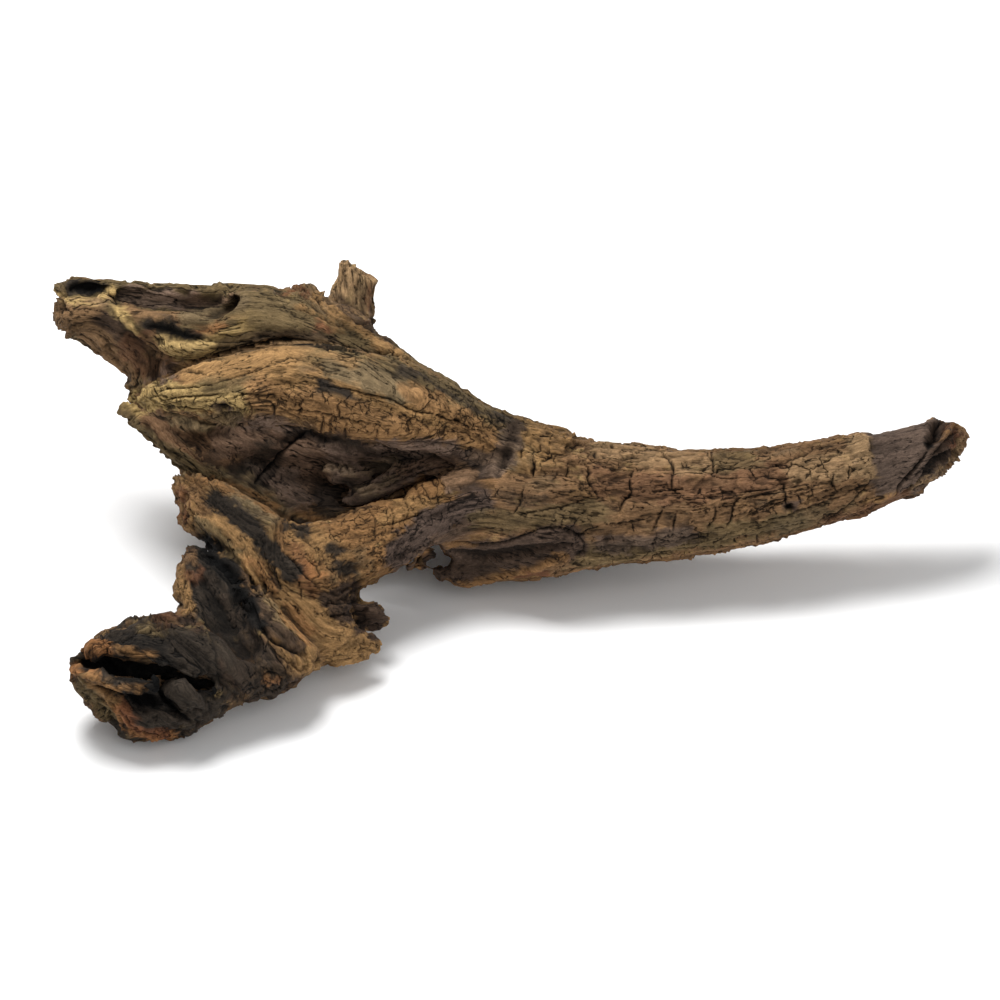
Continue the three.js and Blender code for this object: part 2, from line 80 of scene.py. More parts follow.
CAD_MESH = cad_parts["driftwood"].data
# The across and up values that lie at the middle of the wood in the photograph
MIDDLE = [(values.min() + values.max()) / 2 for values in view_axes(vertex_array(CAD_MESH))[:2]]


def photo_places(co):
    """The pixel column and row of the photograph, and how far toward the camera in mm."""
    across, up, toward = view_axes(co)
    column = PHOTO_MIDDLE[0] + (across - MIDDLE[0]) / MM_PER_PIXEL
    row = PHOTO_MIDDLE[1] - (up - MIDDLE[1]) / MM_PER_PIXEL
    return column, row, toward


# Noise

PRIMES = (374761393, 668265263, 2246822519, 3266489917)
LARGEST = 0xFFFFFF  # of the whole numbers that a lattice point's value is taken from
NOISE_GAIN = 1.6  # brings the noise to about -1 to 1


def hashed(i, j, k, seed):
    """A value from 0 to 1 for each lattice point."""
    a, b, c, d = (np.uint32(prime) for prime in PRIMES)
    h = i.astype(np.uint32) * a + j.astype(np.uint32) * b
    h = h + k.astype(np.uint32) * c + np.uint32(seed * PRIMES[3] % 2**32)
    h = (h ^ (h >> np.uint32(15))) * c
    h = (h ^ (h >> np.uint32(13))) * d
    return ((h ^ (h >> np.uint32(16))) & np.uint32(LARGEST)) / float(LARGEST)


def noise(points, seed=0):
    """Smooth gradient noise, about -1 to 1."""
    cell = np.floor(points)
    inner = points - cell
    cell = cell.astype(np.int64)
    fade = inner ** 3 * (inner * (inner * 6 - 15) + 10)
    total = np.zeros(len(points))
    for corner in range(8):
        step = np.array([corner & 1, (corner >> 1) & 1, corner >> 2])
        at = (cell + step).T
        turn = hashed(*at, seed) * 2 * math.pi
        rise = hashed(*at, seed + 101) * 2 - 1
        flat = np.sqrt(1 - rise ** 2)
        away = inner - step
        slope = away[:, 0] * np.cos(turn) * flat + away[:, 1] * np.sin(turn) * flat + away[:, 2] * rise
        weight = np.prod(np.where(step, fade, 1 - fade), axis=1)
        total += slope * weight
    return total * NOISE_GAIN


def layered(points, layers, seed=0, roughness=0.5):
    """Several octaves of noise, about -1 to 1."""
    total = np.zeros(len(points))
    size = 1.0
    reach = 0.0
    for layer in range(layers):
        total += size * noise(points * 2 ** layer, seed + 7 * layer)
        reach += size
        size *= roughness
    return total / reach


def ramp(values, low, high):
    """A smooth step from 0 at low to 1 at high."""
    t = np.clip((values - low) / (high - low), 0, 1)
    return t * t * (3 - 2 * t)


# Strokes in the photograph

def table(text):
    """Named rows of settings and a list of points, from text such as "crack: 0.8 2.4 327,386 340,387"."""
    rows = {}
    for word in text.split():
        if word.endswith(":"):
            settings, points = [], []
            rows[word[:-1]] = (settings, points)
        elif "," in word:
            points.append([float(part) for part in word.split(",")])
        else:
            settings.append(word if word.isidentifier() else float(word))
    return {name: (*settings, points) for name, (settings, points) in rows.items()}


def stepped(points, steps=5):
    """Points along a smooth curve through a stroke's points."""
    points = np.array(points, float)
    if len(points) < 3:
        return points
    padded = np.vstack([2 * points[0] - points[1], points, 2 * points[-1] - points[-2]])
    t = np.arange(steps)[:, None] / steps
    runs = []
    for n in range(len(points) - 1):
        a, b, c, d = padded[n:n + 4]
        square = 2 * a - 5 * b + 4 * c - d
        cube = 3 * b - a - 3 * c + d
        runs.append(0.5 * (2 * b + (c - a) * t + square * t ** 2 + cube * t ** 3))
    return np.vstack(runs + [points[-1:]])


def along_and_across(column, row, points, run_on=False):
    """How far along a stroke each place lies, in mm and as a share, and its signed and plain distance."""
    path = stepped(points)
    best = np.full(len(column), np.inf)
    along = np.zeros(len(column))
    side = np.zeros(len(column))
    run = 0.0
    last = len(path) - 2
    for n, (a, b) in enumerate(zip(path[:-1], path[1:])):
        d = b - a
        length = math.hypot(*d)
        free = ((column - a[0]) * d[0] + (row - a[1]) * d[1]) / length ** 2
        t = np.clip(free, 0, 1)
        away = np.hypot(column - a[0] - t * d[0], row - a[1] - t * d[1])
        turned = ((column - a[0]) * d[1] - (row - a[1]) * d[0]) / length
        near = away < best
        best = np.where(near, away, best)
        beyond = run_on & ((n == 0) & (free < 0) | (n == last) & (free > 1))
        along = np.where(near, run + np.where(beyond, free, t) * length, along)
        side = np.where(near, np.where(beyond, turned, np.where(turned < 0, -away, away)), side)
        run += length
    return along * MM_PER_PIXEL, along / run, side * MM_PER_PIXEL, best * MM_PER_PIXEL


def inside(column, row, corners):
    """How far inside a polygon of the photograph each place lies, in mm: negative outside."""
    corners = np.array(corners, float)
    crossings = np.zeros(len(column), bool)
    nearest = np.full(len(column), np.inf)
    for a, b in zip(corners, np.roll(corners, -1, axis=0)):
        d = b - a
        spans = (a[1] > row) != (b[1] > row)
        crossings ^= spans & (column < d[0] * (row - a[1]) / (d[1] if d[1] else 1e-9) + a[0])
        t = np.clip(((column - a[0]) * d[0] + (row - a[1]) * d[1]) / (d @ d), 0, 1)
        nearest = np.minimum(nearest, np.hypot(column - a[0] - t * d[0], row - a[1] - t * d[1]))
    return np.where(crossings, nearest, -nearest) * MM_PER_PIXEL


# The limbs' grain: each limb's own colour and the points of its axis

JOINED_AT_START = ("trunk", "lobe")  # the other limbs meet their neighbour at their last point
AXES = table("""
upper: olive 50,308 100,312 200,330 265,325 330,345 400,375 450,405 500,440
ridge: tan 130,400 190,388 250,375 290,372 350,390 420,412 470,430 515,452
trunk: bark 480,492 560,500 620,503 680,502 740,497 800,486 860,474 920,455 975,435
lower: ochre 290,565 330,535 380,520 430,500 480,488
band: tan 170,485 215,520 250,560 280,600 320,640 372,648
fold: sepia 185,560 205,600 235,645 270,690
lobe: coal 60,672 110,668 160,680 215,705
shell: sage 95,340 135,385 165,440 205,470 250,500
stub: pale 345,255 350,300
hollow: umber 260,450 330,480 400,478 470,462
""")


def axis_places(column, row):
    """For each limb, the places along it and across it and the distance from its axis, in mm."""
    along, side, away = [], [], []
    for name, (_, points) in AXES.items():
        a, _, s, d = along_and_across(column, row, points, run_on=True)
        joint = np.array(points[0 if name in JOINED_AT_START else -1], float)
        at_joint = along_and_across(joint[:1], joint[1:], points)[0][0]
        along.append(a - at_joint + joint[0] * MM_PER_PIXEL)
        side.append(s - joint[1] * MM_PER_PIXEL)
        away.append(d)
    return np.array(along), np.array(side), np.array(away)


def nearness(away, reach):
    """Each limb's share in a place, from 0 to 1, all together 1."""
    share = np.exp((away.min(0) - away) / reach)
    return share / share.sum(0)


def grain_of(column, row, toward):
    """Coordinates in mm along and across the limbs, which pass from one limb's into the next one's."""
    along, side, away = axis_places(column, row)
    share = nearness(away, 3.0)
    return np.stack([(share * along).sum(0), (share * side).sum(0), toward], axis=1)


# Shapes: the half width, the depth and the points. A minus depth stands proud.

CRACKS = table("""
ridge_long: 0.9 2.4 327,386 340,387 357,392 372,396 390,399 403,406 416,411 434,414 449,420 460,422 470,428
  485,432
ridge_front: 0.8 1.8 281,411 307,412 327,415 342,419 361,422 374,424 392,426
cross_a: 0.8 2 339,405 338,411 340,418
cross_b: 0.8 2 347,422 345,430 346,438
cross_c: 0.8 2 332,418 330,425 331,431
cross_d: 0.8 2 321,412 323,421 321,430
cross_e: 0.7 1.8 379,427 376,435 378,442
cross_f: 0.7 1.8 411,418 408,424 409,431
cross_g: 0.8 2 299,403 300,411 297,418
cross_h: 0.8 2 272,404 275,411 273,419
cross_i: 0.8 2 248,402 251,409 250,417
ridge_top: 0.8 1.8 215,383 237,376 261,368 281,360 292,357 312,363 330,372 352,377
ridge_square_hole: 2.6 4 217,407 228,408
ridge_dark_hole: 2 3.5 456,419 462,422
tube_hole: 4.2 5 70,287 86,286 106,289
hollow_diagonal: 1.4 3.5 309,428 290,445 268,468 255,482
rib_a: 0.8 1.6 362,486 384,479 404,472 430,464
rib_b: 0.8 1.6 372,492 394,485 416,476 446,466
rib_c: 0.7 1.4 350,474 362,470 376,468
boss_a: 0.7 1.4 333,461 338,468 340,476
boss_b: 0.7 1.4 342,461 347,468 350,476
trunk_slot: 1.4 3.5 534,462 533,474
trunk_a: 0.8 2.4 522,489 520,503 515,512
trunk_b: 0.8 2.2 568,462 568,470 567,477
trunk_c: 0.7 1.8 558,470 556,476 552,482
trunk_d: 1 2.8 583,462 589,472 587,479 593,488 599,497
trunk_e: 1 3 633,470 630,484 631,493 624,502 620,511
trunk_f: 1.1 3.2 658,446 664,456 672,464 672,478 672,487 677,495
trunk_h: 0.8 2.4 663,508 658,518 653,530
trunk_i: 0.9 2.6 675,513 674,522 674,530
trunk_j: 0.7 1.6 519,451 534,453 545,451 561,454 576,458
trunk_k: 0.7 1.6 523,447 521,459
trunk_l: 0.7 1.6 541,445 540,453
trunk_m: 0.7 1.6 549,446 549,455
trunk_n: 0.7 1.7 513,512 524,513 543,510 563,506 578,502 591,496
trunk_o: 0.8 1.8 640,459 630,457 622,461
trunk_p: 1.6 3 594,453 597,458
trunk_q: 1.2 2.6 611,446 613,450
trunk_r: 1.1 2.8 711,453 713,461 713,470
trunk_s: 0.8 2 713,470 734,468 757,468 776,466 791,461 810,452 813,445
trunk_t: 1 2.6 784,484 785,495 786,505
trunk_hole: 2.9 5 786,506 793,507
trunk_u: 0.9 2.6 740,498 734,504 732,515 727,525
trunk_v: 0.8 2.2 716,507 715,517 707,526
trunk_w: 0.9 2.4 833,474 832,483 836,491
trunk_x: 0.7 1.8 740,499 760,494 766,491 765,484
trunk_y: 0.8 2 763,531 757,538 759,543
trunk_z: 0.7 1.6 738,523 772,519 791,513 830,500 856,492
tip_long: 1.3 3.8 927,452 915,469 899,487 896,495
tip_deep: 1.9 5 950,447 934,460 921,480 915,488 905,498
tip_strip_a: 1.1 3 962,440 948,456 936,470 926,484
tip_strip_b: 1.1 3.2 957,430 945,442 934,455
flake_line: 0.8 2.2 872,480 862,492 850,505 836,515 821,527
flap_line: 0.9 2 452,542 473,544 490,544 509,541 530,533 545,528 559,527 572,531 582,539 584,548 576,555
lower_a: 0.8 2 415,488 422,501 427,506
lower_b: 0.8 2 361,528 384,524 400,521 415,515 432,508
lower_c: 0.7 1.8 392,508 394,522 392,534
lower_d: 0.7 1.6 404,498 408,508 407,518
lower_e: 0.7 1.6 372,512 376,524 374,538
lower_fold: 1.2 2.8 284,552 295,561 303,572 313,582 320,588
knot_ring: 1 2 309,560 318,566 319,575 312,580
spur_line: 0.8 2.4 326,604 340,603 354,604
spur_line_b: 0.7 1.8 330,616 345,614 356,618
band_slit: 0.8 2 274,566 277,577 281,590
band_slit_b: 0.8 2 292,572 300,585 301,600
band_slit_c: 0.9 2.2 296,607 298,615
root_knothole: 1.4 3 320,655 320,663
inner_slit: 1.8 4 250,576 254,586 259,597
inner_slit_b: 1.3 3.4 262,584 267,596
under_band: 2.2 4 252,610 258,621 267,634 281,644 300,652
lobe_crevice: 2.2 5 80,662 107,667 127,672 146,675 165,679 184,683 203,686 216,688
lobe_pocket: 4.2 6 128,695 144,699 158,701
nose_line: 1.4 3.4 163,680 160,690 166,702 178,714 192,724
lip_crack: 0.8 2.4 92,684 108,690 124,698 132,704
lip_crack_b: 0.8 2.2 76,668 84,676 98,682 110,684
block_crack: 0.9 2.6 88,657 96,650 112,644 119,637
dome_crack: 0.9 2.4 120,640 132,634 150,632 172,626
fold_gap: 5.4 3 203,544 214,557 227,572 238,588 248,604 256,618
frayed_a: 0.8 2.2 152,392 172,388 192,387 212,384
frayed_b: 0.9 2.6 160,401 182,397 204,396 222,393
frayed_c: 0.8 2.4 150,408 172,409 196,411 214,414
frayed_d: 0.8 2.2 176,373 190,371 206,374
frayed_e: 0.7 2 232,398 246,394 262,396 276,394
frayed_f: 0.7 2 236,409 250,412 262,410
frayed_g: 0.7 2 146,399 158,396 172,396
chip_slit: 0.9 2.6 116,643 109,652 102,661
lobe_line: 1 2.2 165,709 184,716 196,725
lobe_line_b: 1 2.2 120,709 134,725 150,735 172,738
chip_line: 0.9 2 96,679 112,690 127,703 140,716
fold_knot: 1 2 262,676 270,672 279,676 281,685 273,692 264,688
slot_in_limb: 4.2 2.2 147,326 161,328 179,334 193,337 203,338
upper_crease: 1.8 4.5 186,367 200,361 215,357 235,351 257,346 279,342 300,342 325,346 350,349 372,354
upper_line: 0.7 1.6 262,305 280,306 300,309 318,316 332,325
stub_line: 0.6 1.4 345,265 340,285 338,305
stub_line_b: 0.6 1.4 360,272 357,290 356,312
ledge_line: 1 2.4 312,297 330,305 352,320 372,333 390,345
""")

SWELLS = table("""
wall_groove: 4.5 1.8 518,422 512,440 505,458 497,476
mouth_wedge: 4.6 5 98,664 122,668 150,673 166,675
ridge_lip: 4 -1.6 140,414 170,426 207,430 240,422 257,421 283,433 312,427 346,440 384,450 413,447 449,452
trough_lip: 3 -1.8 118,303 140,312 165,316 195,316 215,310 231,303
trough_back: 2.2 -1.2 118,285 150,286 180,288 205,294
shell_edge: 2.2 -1.8 116,309 126,322 137,334 148,345
bridge: 3 -2 98,300 108,293 115,289
diagonal_ridge: 3.4 -2.4 318,296 335,312 352,326 372,338 392,350 412,363
upper_edge_ridge: 2.2 -1.5 352,332 372,345 390,356 412,372 432,385
knot: 3.2 -1.6 320,325 326,330
ridge_knot: 5 -1.6 284,372 292,378
hollow_edge: 2 -1.2 192,477 215,483 240,486 262,497 287,511 310,517 339,514 368,507 394,494 413,486 438,477
band_ridge: 2.6 -1.4 200,520 225,540 246,565 262,595 285,630 310,650
fold_edge: 2 -1.4 190,608 203,627 209,646 213,665 217,692
fold_crest: 4.5 -2 205,575 225,600 240,625 255,655
fold_knot_ridge: 2.4 -1.4 258,668 272,664 288,670 293,682
rounded_fold: 5.5 -2.6 166,686 178,688 190,694 202,704
rounded_fold_b: 3 -1.8 150,712 165,716 182,722
hollow_floor: 7 -5 408,494 430,487 455,480 474,474
limb_belly: 5 -3 158,346 190,350 216,346
block: 3.6 -2.6 89,656 101,651 114,647
block_behind: 4.5 5 68,650 88,636 108,630
dome: 7 -2.2 128,628 150,624 172,618
lower_lip: 4.4 -3.2 72,669 92,676 116,686 140,689
side_plane: 8 2.6 84,694 98,708 112,720
fold_valley: 3.4 3 160,692 172,702 188,712 204,722
trough_end: 5 -3 225,296 232,302
rib_end: 3 2.6 342,494 350,492 356,488
tube_mouth: 6 3.4 55,300 58,312
tube_lip: 3 -2.4 56,288 64,282
tube_lip_low: 3 -2 58,322 66,328
orange_edge: 2.4 -1.8 108,696 120,708 132,724 150,738 172,741
chip_a: 2.6 -1.8 88,652 100,647 112,641
chip_b: 2 -1.4 76,671 98,680 118,688
shell_hollow: 9 3 190,440 215,455 245,470
upper_hollow: 7 2.4 125,335 150,360 160,385
limb_saddle: 6 1.6 235,325 270,335 310,335
strip_edge: 1.6 -0.8 476,495 441,507 418,517 403,531 392,552
flap_hollow: 4 3 450,552 480,556 515,552 550,545 572,542
flap_lip: 2 -1.6 452,583 484,582 507,577 522,572 545,564 561,556
panel: 5.5 1.8 720,460 738,462 752,460
plate_a: 3.4 -1.4 770,457 790,452 806,447
lower_roll: 3 -1.4 590,558 640,551 690,541 740,533 790,522
lower_roll_b: 3.2 -1.2 770,535 810,526 850,512 880,500 895,491
tip_recess: 5.4 8 941,422 936,433 929,446
tip_recess_b: 2.2 3.4 953,441 959,437
tip_splinter_c: 1.8 -2 965,443 952,460 940,474 928,486
""")

# Chips and plates with steep edges.
PLATES = table("""
chip_left: 4.4 -2.6 86,651 95,649 104,647
chip_right: 4 -1.6 108,649 114,648 119,648
chip_strip: 2 -1.2 122,649 136,650 150,653
rounded_nose: 6.6 -4.2 168,688 180,694 192,704 206,716
lip_plate: 3 -1.6 76,668 96,677 118,685 146,688
lower_plane: 4 -1.4 128,712 146,718 166,724
top_block: 2.4 -1.6 597,443 615,444 633,446
front_block: 3.6 -1.2 603,462 620,463
middle_plate: 6 -0.8 560,490 585,500
upper_plate: 3.4 -1.2 722,450 745,449 766,447
tip_chip_a: 1.5 -3.2 952,427 946,434 941,441
tip_chip_b: 1.2 -2.6 944,424 939,432
tip_strip: 2.2 -2.2 958,436 943,452 930,468 914,484
tip_flake: 2.4 -1.4 868,500 882,496 896,490
band_plate: 3 -1 262,548 276,566 288,588
ridge_block_a: 3 -1.2 412,390 422,396
ridge_block_b: 3 -1.2 432,402 446,408
ridge_block_c: 2.6 -1.2 300,404 318,407
""")

# Changes of the outline, which go right round the limb.
TRIMS = table("""
upper_back: 6 4 380,284 380,325 412,347 440,365 466,384
shoulder_top: 9 5 462,384 500,400 540,416 585,430 625,439
trunk_top: 8 3.4 600,434 680,442 760,440 830,430 880,422 925,416
trunk_low: 9 4.2 475,593 560,584 640,572 720,562 800,542 862,522
lobe_shoulder: 8 9 66,654 80,632 104,618 126,611
lobe_top: 6 4 126,612 150,607 176,604
lobe_under: 6 2.6 112,742 150,748 200,730 255,704
fold_under: 6 4.4 278,700 300,688 330,670
fold_left: 5 1.8 172,582 176,562 186,548
lower_edge: 6 2.8 355,602 375,586 402,567
hook_web: 5 6.5 412,572 426,562 440,548
spur_top: 5 2.6 358,598 378,601 389,614
notch_fill: 3.5 -2.6 368,632 382,631
top_fill: 5 -2 220,286 248,284 274,288
stub_fill: 4 -5 320,296 326,284 332,270
tip_under: 6 3 866,522 900,505 946,478
tube_top: 5 2.4 56,276 80,272 104,280
shell_left: 5 2.2 130,430 150,450 182,474
tip_fill: 5 -2.2 968,434 965,450 956,460
""")

SWELL_SLOPE = 0.85  # the share of a swell's width that slopes
PLATE_SLOPE = 0.3
END_TAPER = 0.45  # how wide and deep a stroke's ends are, next to its middle
STROKE_SPARE = 2  # how far past a stroke's half width its uneven edge may reach

# Kinds of surface: the half width and the points
BARK = [(470, 370), (869, 400), (869, 441), (870, 453), (877, 460), (877, 471), (871, 481), (862, 492),
        (847, 507), (826, 524), (822, 545), (822, 620), (470, 620)]
BARK_START = (506, 552, 660)  # columns: where the bark starts, and is whole in front and behind
CHECKED = table("""
ridge_front: 9 262,402 300,405 340,412 390,420 440,436 480,446
ridge_end: 7 440,395 470,412 495,428
lower_limb: 8 330,535 372,525 410,508 445,490
lower_strip: 7 400,560 425,530 460,510 490,500
dark_patch: 6 325,610 345,600 340,585
ridge_left: 6 190,410 230,405 260,400
""")
CALM = table("""
trunk_middle: 6 630,482 652,484 680,484
tip: 14 884,456 905,452 925,442 905,478
ridge_smooth: 7 335,366 360,374 385,384 402,394
ridge_bow: 5 200,378 240,366 285,355 330,356
upper: 10 225,300 270,312 310,330 350,346
shell: 12 150,420 190,448 230,460
hollow: 12 235,450 270,462 300,468
hollow_right: 5 430,460 462,472
fold: 9 205,575 225,620 240,660
tube_side: 8 75,310 110,340 140,370
flap: 7 446,566 500,558 560,540
rounded_fold: 5 165,684 190,690 212,704
""")
BROKEN = table("""
rib: 4 355,490 380,483 404,473
boss: 4 330,466 348,470
tube_end: 7 54,284 60,300 60,320
tube_edge: 5 62,324 100,346 134,378
tube_top: 3 70,277 110,282 160,284 230,288
shell_tip: 5 126,404 150,436 190,474 230,490
ridge_left: 7 136,398 170,408 214,428 250,422
stub_top: 3 338,260 378,276
knot: 4 285,290 312,292
band_end: 5 175,478 180,500 184,526
fold_top: 6 180,558 205,548 184,600
lobe_top: 9 84,648 118,625 150,615 178,610
lobe: 18 90,668 130,680 175,700
lobe_low: 10 95,705 130,735 175,738 215,712
spur: 10 345,606 368,612 388,622
band_low_end: 5 300,662 345,660 380,650
band_spot: 5 316,590 345,592
tip: 6 935,420 966,434 945,466 915,496
lower_hook: 4 396,552 430,560
flap_end: 3 436,562 446,580
bark_edge: 4 540,588 640,575 740,560 820,540 880,512
""")


def near_stroke(column, row, points, reach):
    """Which places lie within reach, in mm, of a stroke's box."""
    corners = np.array(points, float)
    low = corners.min(0) - reach / MM_PER_PIXEL
    high = corners.max(0) + reach / MM_PER_PIXEL
    return (column > low[0]) & (column < high[0]) & (row > low[1]) & (row < high[1])


def on_photo(column, row):
    return np.stack([column, row, np.zeros(len(column))], axis=1)


def bent(values, place, seed):
    """Columns or rows moved by up to two pixels, which makes a stroke's edges uneven."""
    return values + 1.6 * layered(place / 9, 2, seed=seed) + 0.8 * noise(place / 3, seed=seed + 1)


def carve(column, row, seen, shapes, slope=1.0):
    """How deep the shapes cut into each seen place, in mm. Their slopes take up a share of their width."""
    depth = np.zeros(len(column))
    place = on_photo(column, row)
    bent_column = bent(column, place, 3)
    bent_row = bent(row, place, 5)
    for half_width, deep, points in shapes.values():
        near = seen & near_stroke(column, row, points, half_width + STROKE_SPARE)
        if not near.any():
            continue
        _, share, side, _ = along_and_across(bent_column[near], bent_row[near], points)
        bow = np.sqrt(np.clip(4 * share * (1 - share), 0, 1))
        taper = END_TAPER + (1 - END_TAPER) * bow
        reach = np.clip(1 - np.abs(side) / (half_width * taper), 0, 1)
        depth[near] += deep * taper * ramp(reach, 0, slope)
    return depth


def stroke_mask(column, row, shapes, soft=2.5):
    """How far each place is within any of the strokes of a half width and points, from 0 to 1."""
    mask = np.zeros(len(column))
    for half_width, points in shapes.values():
        near = near_stroke(column, row, points, half_width + soft)
        if near.any():
            _, _, side, _ = along_and_across(column[near], row[near], points)
            mask[near] = np.maximum(mask[near], ramp(half_width - np.abs(side), -soft, soft))
    return mask


# Colours, as seen in plain daylight

COLOURS = {
    # black: painted shade in gaps, crevices, recesses and holes, and a dark mark on the lobe
    "black": (26, 23, 20),
    "dun": (112, 88, 70),
    "gold": (142, 107, 70),
    "bark": (116, 88, 61),
    "pale": (142, 115, 83),
    "russet": (108, 77, 55),
    "olive": (98, 82, 56),
    "straw": (160, 134, 87),
    "tan": (138, 106, 68),
    "ochre": (124, 91, 57),
    "orange": (136, 94, 58),
    "rust": (106, 68, 46),
    # coal: charred wood, and also painted shade in the tube's hole and along the gap by the fold
    "coal": (48, 41, 34),
    # hollow: painted shade in small holes and beside the rib, and a dark brown on the flap and at the
    # hollow's end
    "hollow": (74, 59, 49),
    "umber": (114, 94, 80),
    "sepia": (62, 48, 38),
    "taupe": (92, 78, 68),
    "sage": (104, 88, 64),
    "mauve": (84, 69, 60),
    "dust": (122, 103, 80),
    "tip": (86, 71, 61),
}
